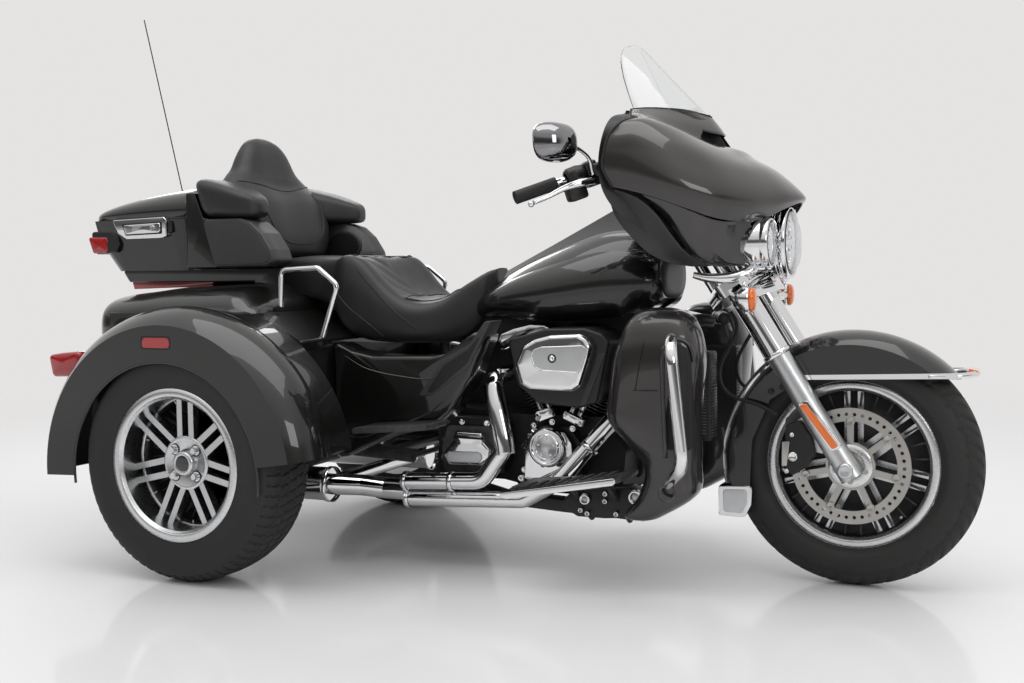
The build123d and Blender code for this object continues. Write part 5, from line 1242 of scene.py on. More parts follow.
SIDE_COVER = ((258, 640), (262, 560), (262, 300), (300, 306), (352, 330), (465, 374), (586, 402), (640, 452),
    (702, 545), (748, 660), (722, 672), (642, 612), (586, 600), (390, 598), (320, 612))


def build_side_covers():
    covers = dome("side_cover_shells", SIDE_COVER, on_side(206), 90, 4, "shade-darkened paint", 26, 22,
        mirrored=True)
    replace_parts(covers, "side_covers")
    slab("side_cover_screens", ((536, 486), (586, 492), (700, 574), (768, 700), (746, 694), (700, 634),
        (616, 586)), on_side(226), 74, "matte grey plastic", 10, 3, mirrored=True)
    slab("side_cover_meshes", ((566, 498), (592, 504), (694, 584), (738, 664), (700, 622), (622, 576)),
        on_side(299), 2.4, "black crackle", 8, 0.6, mirrored=True)
    creases = []
    for hand in BOTH_SIDES:
        for route in (((300, 600), (380, 560), (500, 540), (590, 540), (660, 590)),
                ((282, 380), (350, 366), (450, 400), (560, 436), (620, 480))):
            creases.append(pipe("c", [at(u, hand * 299, v) for u, v in route], (0.6, 2.6, 2.6, 0.6),
                "shade-darkened paint", steps=6, sides=8))
    join("side_cover_creases", creases)


def build_body_trim():
    """The rolled lips of the rear fenders and the antenna's foot."""
    lips = []
    for hand in BOTH_SIDES:
        arch = [at(-25 + 309 * math.cos(a), hand * 691, 292 + 309 * math.sin(a))
            for a in np.linspace(math.radians(-6), math.radians(186), 40)]
        lips.append(pipe("lip", arch, 3.8, "shade-darkened paint", steps=2, sides=10))
    join("fender_lips", lips)
    turned("antenna_foot", [(0, 0), (0, 13), (5, 13), (16, 7), (40, 4.2), (46, 0)], at(-654, 250, 906),
        (-0.235, 0, 0.972), "polished chrome", 32)


# ---- Lower fairings, guard and radiators ----
# (height, centre station, centre offset, length, width) of a lower fairing
LOWER_ROWS = ((182, 1168, -236, 60, 84), (196, 1180, -240, 104, 122), (256, 1246, -250, 146, 152),
    (330, 1256, -252, 138, 164), (400, 1224, -251, 204, 178), (450, 1207, -250, 240, 186),
    (520, 1212, -249, 238, 190), (600, 1221, -248, 234, 190), (660, 1226, -245, 206, 180),
    (700, 1227, -241, 166, 160), (722, 1226, -236, 112, 120), (731, 1225, -233, 44, 54))
LOWER_SQUARENESS = 0.72


def build_lower_fairings():
    rings = [[at(x + length / 2 * bent(math.cos(angle), LOWER_SQUARENESS),
        y + width / 2 * bent(math.sin(angle), LOWER_SQUARENESS), z) for angle in round_steps(48)]
        for z, x, y, length, width in curve_through(LOWER_ROWS, 5)]
    right = loft_rings("lower_fairing_right", rings, "shade-darkened paint")
    tree = skin_tree(right)
    vertices, faces = add_mirror([v.co.copy() for v in right.data.vertices],
        [tuple(p.vertices) for p in right.data.polygons])
    bpy.data.objects.remove(right)
    shell = piece("lower_fairing_shells", vertices, faces, "charcoal paint")
    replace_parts(shell, "lower_fairings")

    # The arched recess that the guard comes out of, and the lines of the glove door.
    arch = ((1262, 360), (1256, 600), (1268, 640), (1292, 656), (1316, 640), (1326, 600), (1334, 360))
    door_lines = (((1232, 722), (1206, 640), (1186, 528)), ((1180, 527), (1240, 528), (1326, 531)))
    arches, lines = [], []
    for hand in BOTH_SIDES:
        on_skin = [[Vector((p.x, -hand * p.y, p.z)) for p in lay_on(tree, [at(u, -500, v) for u, v in route],
            (0, 1, 0), lift * MM)] for route, lift in ((arch, 2.0), (door_lines[0], 0.6),
            (door_lines[1], 0.6))]
        arches.append(pipe("a", on_skin[0], 6, "charcoal paint", steps=6, sides=10))
        lines += [pipe("g", route, 1.3, "seam black and painted shade", sides=6) for route in on_skin[1:]]
    join("lower_fairing_arches", arches)
    join("glove_door_lines", lines)
    # A dark sheet in each arched recess: painted shade.
    slab("guard_recesses", ((1264, 380), (1262, 600), (1272, 634), (1292, 648), (1312, 634), (1322, 600),
        (1326, 380)), on_side(262), 77, "seam black and painted shade", 10, 0, mirrored=True)
    clamps = []
    for hand in BOTH_SIDES:
        axis = at(1284, hand * 372, 282) - at(1215, hand * 250, 235)
        clamps.append(turned("k", [(0, 17), (0, 23), (16, 23), (16, 17)], at(1222, hand * 262, 239), axis,
            "polished chrome", 40, closed=True))
        clamps.append(turned("k", [(0, 17), (0, 21), (10, 21), (10, 17)], at(1262, hand * 333, 267), axis,
            "satin black", 40, closed=True))
    join("guard_clamps", clamps)


SLAT_PITCH = 7.8
SLAT_WALL = 3


def build_radiators():
    """The slatted faces of the radiators and the hoses behind them."""
    core = slab("radiator_bodies", ((1238, 382), (1238, 614), (1332, 614), (1332, 382)), on_side(104), 66,
        "black plastic", 8, 3, mirrored=True)
    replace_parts(core, "radiators")
    slats = []
    for hand in BOTH_SIDES:
        face = on_plane((1331, hand * 137, 0), (0, 1, 0), (0, 0, 1))
        for i in range(28):
            height = 392 + i * SLAT_PITCH
            slats.append(slab("n", strip(-26, 26, height, height + SLAT_WALL), face, 3, "satin black", 0, 0))
        for i in range(26):
            height = 400 + i * SLAT_PITCH
            slats.append(slab("s", strip(1256, 1320, height, height + SLAT_WALL), on_side(167, hand), 5,
                "matte grey plastic", 0, 0))
    join("radiator_slats", slats)
    hoses = [pipe("h", route_at(((1262, 150, 690), (1288, 112, 694), (1306, 72, 690)), hand), 17,
        "satin black", sides=18) for hand in BOTH_SIDES]
    hoses += [turned("c", [(0, 17), (0, 20), (12, 20), (12, 17)], at(1268, hand * 143, 691),
        (0.6, -hand * 0.8, 0.05), "brushed steel", 32, closed=True) for hand in BOTH_SIDES]
    join("radiator_hoses", hoses)


def reshaped(node_name, name, move):
    """A copy of a rigid node whose corners are moved by a function of (station, side offset, height)."""
    source = frame["nodes"][node_name].data
    vertices = [at(*move((v.co.x - REAR_AXLE_X) / MM, v.co.y / MM, v.co.z / MM)) for v in source.vertices]
    made = piece(name, vertices, [tuple(p.vertices) for p in source.polygons], "shade-darkened paint")
    bevel(made, 1.2, limit=35, harden_normals=True)
    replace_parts(made, node_name)


# (station, half width, crown height) of the trunk's rounded top
TRUNK_ROWS = ((-478, 360, 746), (-492, 376, 750), (-488, 396, 762), (-468, 424, 772), (-430, 446, 779),
    (-340, 454, 787), (-230, 454, 798), (-60, 454, 804), (0, 454, 803), (30, 454, 794), (62, 454, 770),
    (92, 454, 751), (114, 454, 700))
TRUNK_EDGE_Z = 640
TRUNK_SQUARENESS = 0.42
# The trunk's shell stays under the rounded top: its height in the middle, behind the tail and at the sides.
TRUNK_SHELL_TOP, TRUNK_TAIL_TOP, TRUNK_SIDE_TOP = 768, 742, 722


def trunk_corner(station, side, height):
    """Draws the trunk's upper and rear corners in."""
    if station < -460 and height > 750:
        station += 20
    if abs(side) > 440 and station < -430:
        station += 64
    if abs(side) > 400:
        height = min(height, TRUNK_SIDE_TOP)
    elif station < -440:
        height = min(height, TRUNK_TAIL_TOP)
    return station, side, min(height, TRUNK_SHELL_TOP)


def build_trunk_top():
    reshaped("trunk", "trunk_shell", trunk_corner)
    grid = crowned_grid(TRUNK_ROWS, 49, TRUNK_EDGE_Z, TRUNK_SQUARENESS, 3)
    sheet_piece("trunk_top", grid, 2, "shade-darkened paint", offset=1.0)


BOX_TAIL_START = -590


def box_tail(station, side, height):
    """Draws the top box's tail in a little, to follow the lid's blunt nose."""
    past = min(station - BOX_TAIL_START, 0)
    return station - past * 0.38, side * (1 + past * 0.0016), height


# ---- Engine ----
CRANK_X = 882
CRANK_Z = 330
CYLINDER_LEAN = math.radians(22.5)
FIN_COUNT = 15
FIN_START = 128
FIN_PITCH = 9.5
FIN_WALL = 3
FIN_HALF = 72
FIN_EDGE_HALF = FIN_HALF - 26


def bolts(name, places, radius, height, material, body="chassis"):
    """A set of bolt heads on the right side."""
    return join(name, [hex_bolt("b", at(*place), (0, -1, 0), radius, height, material, body)
        for place in places])


AIR_COVER = ((823, 577), (845, 628), (884, 650), (928, 661), (1011, 665), (1030, 655), (1043, 630),
    (1036, 600), (1010, 524), (990, 510), (865, 512), (838, 526))
AIR_INSET = ((876, 605), (885, 621), (907, 628), (1020, 633), (1036, 626), (1032, 608), (1018, 570),
    (1008, 563), (906, 567), (886, 576))


def build_air_cleaner():
    backing = dome("air_cleaner_backing", ((784, 644), (812, 522), (870, 474), (990, 463), (1044, 478),
        (1080, 640), (1060, 662), (1010, 677), (896, 675)), on_side(112), 126, 2, "black plastic", 14, 10)
    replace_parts(backing, "air_cleaner")
    slab("air_cleaner_facet", ((1046, 610), (1070, 612), (1014, 474), (994, 470)), on_side(234), 7,
        "matte grey plastic", 3, 1.5)
    cover = dome("air_cleaner_shell", AIR_COVER, on_side(238), 44, 3, "polished chrome", 16, 17)
    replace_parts(cover, "air_cleaner_cover")
    dome("air_cleaner_inset", AIR_INSET, on_side(281), 5.4, 0.6, "satin alloy", 12, 1.5)
    rim = [at(u, -286, v) for u, v in rounded_outline(AIR_INSET, 12, 3)]
    pipe("air_cleaner_inset_rim", rim, 1.6, "polished chrome", steps=2, sides=8, closed=True)
    # A dark ring round the bolt: painted shade in its recess.
    turned("air_cleaner_bolt_seat", [(0, 12), (2.5, 12), (3, 10.5), (1, 8.5)], at(937, -285.5, 599),
        (0, -1, 0), "seam black and painted shade", 40)
    turned("air_cleaner_bolt", [(0, 8.5), (3, 8.5), (5.5, 6), (5.5, 3), (3.5, 2.6), (3.5, 0)],
        at(937, -285.5, 599), (0, -1, 0), "polished chrome", 40)


ROCKER_SIDE = ((688, 628), (697, 650), (743, 669), (800, 683), (850, 681), (862, 668), (808, 643), (777, 630),
    (703, 600))


def build_cylinders():
    """The rocker boxes' bright caps and the machined edges of the fins."""
    caps, seams = [], []
    for hand in BOTH_SIDES:
        for turn in (1, -1):
            outline = [(CRANK_X + turn * (u - CRANK_X), v) for u, v in ROCKER_SIDE]
            caps.append(dome("c", outline, on_side(52, hand), 56, 3, "polished chrome", 12, 16))
            groove = [at(CRANK_X + turn * (u - CRANK_X), hand * 106, v) for u, v in ((700, 622), (740, 640),
                (790, 655), (846, 674))]
            seams.append(pipe("s", groove, 1.8, "seam black and painted shade", steps=4, sides=6))
    join("rocker_caps", caps)
    join("rocker_seams", seams)
    edges = []
    for hand in BOTH_SIDES:
        for turn in (1, -1):
            lean = Vector((math.sin(CYLINDER_LEAN * turn), 0, math.cos(CYLINDER_LEAN * turn)))
            across = Vector((lean.z, 0, -lean.x))
            for fin in range(FIN_COUNT):
                along = FIN_START + fin * FIN_PITCH
                middle = Vector((CRANK_X, hand * (FIN_HALF - 0.5), CRANK_Z)) + lean * along
                place = on_plane(middle, across, lean)
                depth = math.copysign(1.6, across.cross(lean).y * hand)
                edges.append(slab("e", strip(-FIN_EDGE_HALF, FIN_EDGE_HALF, 0.4, FIN_WALL - 0.4), place,
                    depth, "satin alloy", 0, 0))
    join("fin_edges", edges)


def build_case():
    """The gearbox cover, the cam cover and the tappet blocks."""
    slab("gearbox_side_plate", ((532, 416), (532, 296), (552, 258), (722, 258), (744, 318), (738, 400),
        (700, 416)), on_side(100), 52, "black crackle", 16, 3)
    dome("gearbox_cover", ((591, 378), (678, 376), (684, 352), (704, 332), (702, 306), (674, 283), (570, 281),
        (554, 308), (562, 326), (586, 352)), on_side(160), 24, 2, "polished chrome", 9, 10)
    dome("gearbox_inset", ((570, 322), (672, 324), (680, 306), (668, 292), (574, 289), (562, 305)),
        on_side(182), 6, 0.6, "satin alloy", 12, 2)
    # A dark strip along the cover's step: painted shade.
    slab("gearbox_step", ((590, 366), (680, 364), (682, 358), (588, 360)), on_side(178), 9, "seam black and painted shade", 2, 0)
    bolts("gearbox_bolts", [(600, -152, 403), (679, -152, 400), (545, -152, 350), (540, -152, 300),
        (716, -152, 300), (722, -152, 380), (640, -152, 266)], 6.5, 6, "polished chrome")
    slab("cam_plate", ((825, 394), (806, 374), (800, 252), (828, 249), (892, 259), (912, 270), (944, 319),
        (940, 358), (920, 386)), on_side(163), 4, "polished chrome", 6, 1.2)
    centre = at(876, -163, 346)
    turned("cam_cover", [(0, 53), (22, 53), (28, 50), (30, 46), (27, 43), (25, 42), (25, 37), (29, 35),
        (30, 32), (27, 30)], centre, (0, -1, 0), "polished chrome", 72)
    turned("cam_cover_centre", [(26, 31), (28, 29), (28, 20), (29, 19), (29, 0)], centre, (0, -1, 0),
        "satin alloy", 64)
    rivets = [(876 + 24 * math.cos(a), -191, 346 + 24 * math.sin(a)) for a in (math.radians(d)
        for d in (18, 90, 162, 234, 306))]
    bolts("cam_screws", rivets, 2.6, 2.2, "polished chrome")
    bolts("cam_bolts", [(828, -164, 402), (884, -164, 414), (944, -164, 398), (790, -146, 340),
        (790, -146, 274), (782, -146, 248)], 6, 6, "polished chrome")
    blocks = []
    for outline in (((823, 438), (876, 453), (884, 426), (831, 406)), ((914, 447), (973, 421), (966, 398),
            (905, 424))):
        blocks.append(dome("t", outline, on_side(96), 54, 2, "polished chrome", 5, 6))
    join("tappet_blocks", blocks)
    bolts("tappet_bolts", [(834, -150, 420), (872, -150, 438), (918, -150, 434), (960, -150, 412)], 4.5, 6,
        "satin alloy")


def build_exhaust():
    """The seams, clamps and shields along the pipes and the footboards' bright edges."""
    rings = []
    for place, axis, radius in (((612, -244, 246), (1, 0.02, 0.03), 25), ((470, -249, 240), (1, 0, 0), 26),
            ((470, -235, 190), (1, 0, 0), 26), ((1000, -181, 350), (0.62, 0.25, 0.75), 25),
            ((252, -300, 226), (1, 0, 0), 49), ((-418, -300, 226), (1, 0, 0), 49),
            ((252, 300, 226), (1, 0, 0), 49), ((-418, 300, 226), (1, 0, 0), 49)):
        rings.append(turned("r", [(-7, radius), (-6, radius + 2.5), (6, radius + 2.5), (7, radius)],
            at(*place), axis, "polished chrome"))
    join("exhaust_clamps", rings)
    shield = pipe("exhaust_shield", [at(727, -214, 520), at(748, -230, 452), at(769, -239, 380),
        at(779, -243, 330)], (25, 27.5, 27.5, 26), "polished chrome", sides=28)
    bevel(shield, 2, limit=30)
    trims, pads = [], []
    outer = -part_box("footboards")[0].y / MM
    for hand in BOTH_SIDES:
        trims.append(slab("t", ((852, 262), (1160, 318), (1166, 309), (1158, 300), (868, 248), (850, 252)),
            on_side(outer - 3, hand), 5, "polished chrome", 4, 1.2))
        for i in range(9):
            place = on_plane((880 + i * 32, hand * (outer - 52), 271 + i * 5.9), (0.983, 0, 0.182), (0, 1, 0))
            pads.append(slab("p", strip(-9, 9, -38, 38), place, 4, "black rubber", 3, 1))
    join("footboard_trims", trims)
    join("footboard_pads", pads)
    eyes = []
    for x, z, r in ((1008, 222, 15), (1066, 240, 7), (1065, 220, 7), (996, 192, 7), (1015, 184, 7),
            (1096, 188, 7), (823, 268, 8), (1150, 236, 20)):
        eyes.append(turned("e", [(0, 0.55 * r), (0, r), (9, r), (11, 0.9 * r), (11, 0.55 * r)],
            at(x, -236, z), (0, -1, 0), "polished chrome", 32, closed=True))
        eyes.append(turned("n", [(0, 0.56 * r), (7, 0.56 * r), (8, 0.4 * r), (8, 0)], at(x, -236, z),
            (0, -1, 0), "brushed steel", 24))
    join("frame_eyes", eyes)
    slab("frame_side_plate", ((960, 232), (1000, 246), (1130, 262), (1160, 240), (1150, 180), (1060, 172),
        (984, 172), (930, 200)), on_side(180), 56, "satin black", 12, 4)


# ---- Controls and mirrors ----
def ellipse_ring(centre, half_a, half_b, axis_a, axis_b, power=0.7):
    """A squarish oval between two axes, with its half sizes in millimetres."""
    return [centre + axis_a * half_a * MM * bent(math.cos(angle), power)
        + axis_b * half_b * MM * bent(math.sin(angle), power) for angle in round_steps(40)]


# (depth ahead of the glass, scale) of a mirror's shell
MIRROR_ROWS = ((0, 0.96), (0, 1.0), (8, 1.01), (24, 0.97), (40, 0.84), (52, 0.60), (58, 0.34), (60, 0.1))
MIRROR_GLASS_ROWS = ((2, 0.97), (2.5, 0.5), (3, 0.05))
MIRROR_HALF_WIDTH, MIRROR_HALF_HEIGHT = 70, 49


def build_mirrors():
    shells, glasses, stems = [], [], []
    for hand in BOTH_SIDES:
        facing = Vector((0.95, hand * 0.26, 0.08)).normalized()
        across = Vector((-facing.y, facing.x, 0)).normalized()
        up = facing.cross(across)
        centre = at(1000, hand * 432, 1146)
        shell, glass = ([ellipse_ring(centre + facing * depth * MM, MIRROR_HALF_WIDTH * scale,
            MIRROR_HALF_HEIGHT * scale, across, up) for depth, scale in rows]
            for rows in (MIRROR_ROWS, MIRROR_GLASS_ROWS))
        shells.append(loft_rings("s", shell, "dark chrome", "steering", cap=False))
        glasses.append(loft_rings("g", glass, "lamp bowl", "steering"))
        route = ((1032, 402, 1144), (1046, 366, 1136), (1064, 332, 1112), (1072, 322, 1072))
        stems.append(pipe("m", route_at(route, hand), (9, 5, 5, 6.5), "polished chrome", sides=16,
            body="steering"))
    made = join("mirror_shells", shells)
    join("mirror_glasses", glasses)
    join("mirror_stems", stems)
    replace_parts(made, "mirrors")


# (centre, size, edge radius, finish) of the switch pod, the clamp, the reservoir and the valve block
CONTROL_BLOCKS = (((1030, 336, 1028), (44, 50, 40), 8, "black plastic"),
    ((1052, 296, 1088), (38, 34, 44), 7, "satin black"), ((1086, 292, 1092), (48, 66, 34), 8, "satin black"),
    ((1074, 300, 1060), (34, 70, 24), 7, "satin black"))


def build_controls():
    """Switch housings, clamps, reservoirs and levers at the grips."""
    black, bright = [], []
    for hand in BOTH_SIDES:
        along = (at(907, hand * 430, 1016) - at(1000, hand * 342, 1059)).normalized()
        tilt = along.to_track_quat("Y", "Z").to_matrix()
        housing = [(0, 0), (0, 18), (3, 24), (20, 27), (46, 26), (52, 21), (52, 15)]
        black.append(turned("h", housing, at(1040, hand * 304, 1078), along, "black plastic", 40,
            body="steering"))
        for (x, y, z), size, radius, material in CONTROL_BLOCKS:
            black.append(rounded_box("b", at(x, hand * y, z), size, radius, material, tilt, body="steering"))
        lever = route_at(((1072, 318, 1056), (1050, 352, 1050), (1016, 384, 1036), (984, 418, 1014),
            (960, 446, 1000)), hand)
        bright.append(pipe("l", lever, (11, 12, 8, 6, 5.5), "polished chrome", sides=16, body="steering"))
        ball = [(-8 * math.cos(a), 8 * math.sin(a)) for a in np.linspace(0, math.pi, 9)]
        bright.append(turned("k", ball, at(955, hand * 452, 996), along, "polished chrome", 20,
            body="steering"))
        for shift in (-14, 14):
            bright.append(hex_bolt("s", at(1052 + shift * 0.4, hand * (296 + shift * 0.5), 1110), (0, 0, 1),
                3.2, 3, "polished chrome", "steering"))
    made = join("hand_control_housings", black)
    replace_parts(made, "hand_controls")
    join("hand_levers", bright)
    cables = []
    for hand in BOTH_SIDES:
        for offset in (0, 12):
            route = ((1100, 268, 1060 - offset), (1150, 232, 1020 - offset), (1216, 190, 990 - offset),
                (1290, 120, 1000 - offset))
            cables.append(pipe("w", route_at(route, hand), 3.5, "black rubber", sides=10, body="steering"))
    join("control_cables", cables)


# ---- Fork and front fender ----
FORK_UP = Vector((-0.52101, 0, 0.85355))
FORK_AHEAD = Vector((0.85355, 0, 0.52101))
CALIPER_FACE_Y = 114


def build_fork():
    """The clamp's bright cover, the lamp arms, the reflectors and the brake hoses."""
    across = on_plane((1396, 0, 784), (0, 1, 0), FORK_AHEAD)
    dome("clamp_cover", ((-164, -36), (164, -36), (164, 30), (120, 46), (50, 66), (-50, 66), (-120, 46),
        (-164, 30)), across, 52, 0, "polished chrome", 26, 10, body="steering")
    arms = []
    for hand in BOTH_SIDES:
        route = ((1300, 214, 814), (1338, 204, 806), (1396, 190, 806), (1434, 166, 822), (1446, 150, 838))
        arms.append(pipe("a", route_at(route, hand), (8, 12, 15, 14, 12), "polished chrome", sides=20,
            body="steering"))
        stalk = ((1400, 140, 756), (1428, 180, 752), (1444, 214, 751))
        arms.append(pipe("s", route_at(stalk, hand), (20, 16, 13), "polished chrome", sides=20,
            body="steering"))
    join("lamp_arms", arms)
    backs, lenses = [], []
    for hand in BOTH_SIDES:
        backs.append(slab("b", ((1548, 488), (1576, 494), (1664, 380), (1636, 366)), on_side(140, hand), 10,
            "polished chrome", 8, 2, body="steering"))
        lenses.append(dome("l", ((1555, 482), (1573, 486), (1655, 381), (1638, 373)), on_side(148, hand), 7,
            1, "amber lens", 6, 3, body="steering"))
    join("fork_reflector_backs", backs)
    join("fork_reflectors", lenses)
    hoses = []
    for hand in BOTH_SIDES:
        route = ((1366, 96, 716), (1380, 92, 690), (1378, 90, 655), (1360, 88, 620), (1340, 88, 580),
            (1336, 90, 541), (1350, 92, 508), (1384, 96, 488), (1440, 104, 474), (1492, 110, 450))
        hoses.append(pipe("h", route_at(route, hand), 5, "black rubber", steps=6, sides=12, body="steering"))
    join("brake_hoses", hoses)
    rings = []
    for hand in BOTH_SIDES:
        foot = at(1492, hand * 120, 609)
        rings.append(turned("r", [(-9, 34), (-8, 36.5), (3, 36.5), (5, 32)], foot, FORK_UP, "polished chrome",
            body="steering"))
        rings.append(turned("c", [(0, 19), (3, 20), (9, 19), (12, 14), (9, 9), (9, 0)],
            at(1670, hand * 149, 320), (0, hand, 0), "satin alloy", 40, body="steering"))
    join("fork_rings", rings)


def build_fender_trim():
    """The front fender's bright side strip, its tip lamp and the flap's framed plate."""
    flap = ((1333, 252), (1421, 257), (1418, 206), (1401, 172), (1335, 173))
    slab("flap_frames", flap, on_side(84), 6, "polished chrome", 12, 1.5, mirrored=True, body="steering")
    inner = drawn_in(flap, (1372, 216), 0.76)
    dome("flap_inserts", inner, on_side(88), 3.5, 0.5, "satin alloy", 10, 1.5, mirrored=True, body="steering")
    slab("flap_plate", strip(-88, 88, 0, 80), on_plane((1330, 0, 172), (0, 1, 0), (0, 0, 1)), 4,
        "polished chrome", 12, 1.2, body="steering")
    nose = route_at(((1860, -89, 556), (1916, -82, 557), (1950, -58, 558), (1965, -22, 559), (1965, 22, 559),
        (1950, 58, 558), (1916, 82, 557), (1860, 89, 556)))
    pipe("fender_tip", nose, (4, 8, 9, 9, 8, 4), "polished chrome", steps=6, sides=16, body="steering")
    dome("fender_tip_lens", ((1946, 562), (1972, 560), (1972, 568), (1950, 573)), on_side(-30), 60, 0,
        "amber lens", 3, 3, body="steering")
    bolts("fender_bolts", [(1470, -90, 508), (1500, -90, 520), (1540, -90, 556)], 6, 3, "satin black",
        body="steering")
    caliper = ((1520, 430), (1556, 440), (1584, 396), (1592, 357), (1573, 322), (1533, 296), (1511, 314),
        (1515, 378))
    dome("caliper_faces", caliper, on_side(CALIPER_FACE_Y), 16, 2, "black crackle", 12, 6, mirrored=True,
        body="steering")
    slab("caliper_pads", ((1508, 384), (1528, 385), (1521, 322), (1507, 321)), on_side(CALIPER_FACE_Y + 15),
        5, "brushed steel", 3, 1.5, mirrored=True, body="steering")
    join("caliper_pins", [turned("p", [(0, r), (4, r), (5, r - 2), (3, r - 4), (3, 0)],
        at(x, hand * (CALIPER_FACE_Y + 17), z), (0, hand, 0), "polished chrome", 24, body="steering")
        for x, z, r in ((1536, 347, 12), (1534, 403, 6), (1520, 309, 6)) for hand in BOTH_SIDES])


def build_dark_fillers():
    """The black parts of the frame and loom that stand behind the engine and under the tank, and a dark sheet
    behind the engine as painted shade.
    """
    slab("tank_underside", ((560, 650), (620, 706), (1120, 708), (1130, 676), (1060, 640), (700, 640)),
        on_side(-64), 128, "black crackle", 16, 4)
    slab("frame_lower_rails", ((500, 232), (560, 206), (720, 176), (900, 166), (1150, 156), (1162, 186),
        (960, 196), (720, 208), (560, 246)), on_side(104), 58, "satin black", 10, 6, mirrored=True)
    # A dark sheet behind the engine: painted shade seen between its parts.
    slab("engine_back_shade", ((480, 430), (560, 640), (700, 660), (1080, 660), (1110, 500), (1080, 240),
        (500, 250)), on_side(-50), 30, "seam black and painted shade", 20, 2)
    nose = [ellipse_ring(at(x, 0, 812), 111 * scale, 63 * scale, Vector((0, 1, 0)), Vector((0, 0, 1)), 0.8)
        for x, scale in ((1176, 1.0), (1184, 1.0), (1187, 0.96), (1188, 0.6), (1188, 0.1))]
    loft_rings("tank_nose", nose, "black plastic")


# ---- Camera, lights and floor ----
def make_camera():
    azimuth, drop, roll = math.radians(24.537), math.radians(3.385), math.radians(-0.803)
    ahead = Vector((-math.sin(azimuth) * math.cos(drop), math.cos(azimuth) * math.cos(drop), -math.sin(drop)))
    level = Vector((math.cos(azimuth), math.sin(azimuth), 0))
    upward = level.cross(ahead)
    right = level * math.cos(roll) + upward * math.sin(roll)
    up = right.cross(ahead)
    data = bpy.data.cameras.new("Camera")
    data.sensor_width = 36.0
    data.lens = 42.897
    data.clip_end = 60.0
    camera = bpy.data.objects.new("Camera", data)
    turn = Matrix((right, up, -ahead)).transposed().to_4x4()
    camera.matrix_world = Matrix.Translation((1.6062, -3.2455, 0.8349)) @ turn
    bpy.context.scene.collection.objects.link(camera)
    bpy.context.scene.camera = camera


def make_light(name, place, target, size, power):
    data = bpy.data.lights.new(name, "AREA")
    data.shape = "RECTANGLE"
    data.size, data.size_y = size
    data.energy = power
    light = bpy.data.objects.new(name, data)
    light.location = place
    light.rotation_euler = (Vector(target) - Vector(place)).to_track_quat("-Z", "Y").to_euler()
    bpy.context.scene.collection.objects.link(light)


def make_world(backdrop):
    """A pale room, plain to the eye. Reflections see it brighter overhead and darker near the horizon."""
    world = bpy.data.worlds.new("Studio")
    bpy.context.scene.world = world
    world.use_nodes = True
    tree = world.node_tree
    background = tree.nodes["Background"]
    split = tree.nodes.new("ShaderNodeSeparateXYZ")
    feed(tree, tree.nodes.new("ShaderNodeTexCoord").outputs["Generated"], split.inputs[0])
    ramp = tree.nodes.new("ShaderNodeValToRGB")
    ramp.color_ramp.interpolation = "EASE"
    stops = ramp.color_ramp.elements
    stops[0].position, stops[0].color = 0.40, (0.70, 0.70, 0.71, 1)
    stops[1].position, stops[1].color = 0.92, (1.0, 1.0, 1.0, 1)
    for position, value in ((0.47, 0.46), (0.53, 0.09), (0.59, 0.12), (0.66, 0.62)):
        stop = stops.new(position)
        stop.color = (value, value * 0.985, value * 0.97, 1)
    height = maths(tree, "ADD", maths(tree, "MULTIPLY", split.outputs["Z"], 0.5), 0.5)
    feed(tree, height, ramp.inputs["Fac"])
    # The far side of the room is the pale backdrop at every height.
    far = tree.nodes.new("ShaderNodeMapRange")
    far.inputs["From Min"].default_value = -0.15
    far.inputs["From Max"].default_value = 0.35
    feed(tree, split.outputs["Y"], far.inputs["Value"])
    room = mixed(tree, far.outputs["Result"], ramp.outputs["Color"], (*backdrop, 1))
    path = tree.nodes.new("ShaderNodeLightPath")
    clear = maths(tree, "MAXIMUM", path.outputs["Is Camera Ray"], path.outputs["Is Transmission Ray"])
    feed(tree, mixed(tree, clear, room, (*backdrop, 1)), background.inputs["Color"])
    background.inputs["Strength"].default_value = 1.0


def make_floor(colour, backdrop):
    material = bpy.data.materials.new("studio floor")
    material.use_nodes = True
    tree = material.node_tree
    shader = tree.nodes["Principled BSDF"]
    shader.inputs["Base Color"].default_value = (*colour, 1)
    shader.inputs["Coat Weight"].default_value = 0.55
    shader.inputs["Coat Roughness"].default_value = 0.10
    shader.inputs["Coat IOR"].default_value = 1.35
    feed(tree, maths(tree, "ADD", maths(tree, "MULTIPLY", noise(tree, 3.0, 4.0), 0.2), 0.35),
        shader.inputs["Roughness"])
    # Far from the machine the floor fades into the backdrop.
    reach = tree.nodes.new("ShaderNodeVectorMath")
    reach.operation = "LENGTH"
    feed(tree, tree.nodes.new("ShaderNodeTexCoord").outputs["Object"], reach.inputs[0])
    fade = tree.nodes.new("ShaderNodeMapRange")
    fade.interpolation_type = "SMOOTHSTEP"
    fade.inputs["From Min"].default_value = 2.2
    fade.inputs["From Max"].default_value = 6.0
    feed(tree, reach.outputs["Value"], fade.inputs["Value"])
    glow = tree.nodes.new("ShaderNodeEmission")
    glow.inputs["Color"].default_value = (*backdrop, 1)
    blend = tree.nodes.new("ShaderNodeMixShader")
    feed(tree, fade.outputs["Result"], blend.inputs[0])
    feed(tree, shader.outputs[0], blend.inputs[1])
    feed(tree, glow.outputs[0], blend.inputs[2])
    feed(tree, blend.outputs[0], tree.nodes["Material Output"].inputs["Surface"])
    mesh = bpy.data.meshes.new("Floor")
    half = 14.0
    mesh.from_pydata([(-half, -half, 0), (half, -half, 0), (half, half, 0), (-half, half, 0)], [],
        [(0, 1, 2, 3)])
    mesh.materials.append(material)
    floor = bpy.data.objects.new("Floor", mesh)
    bpy.context.scene.collection.objects.link(floor)


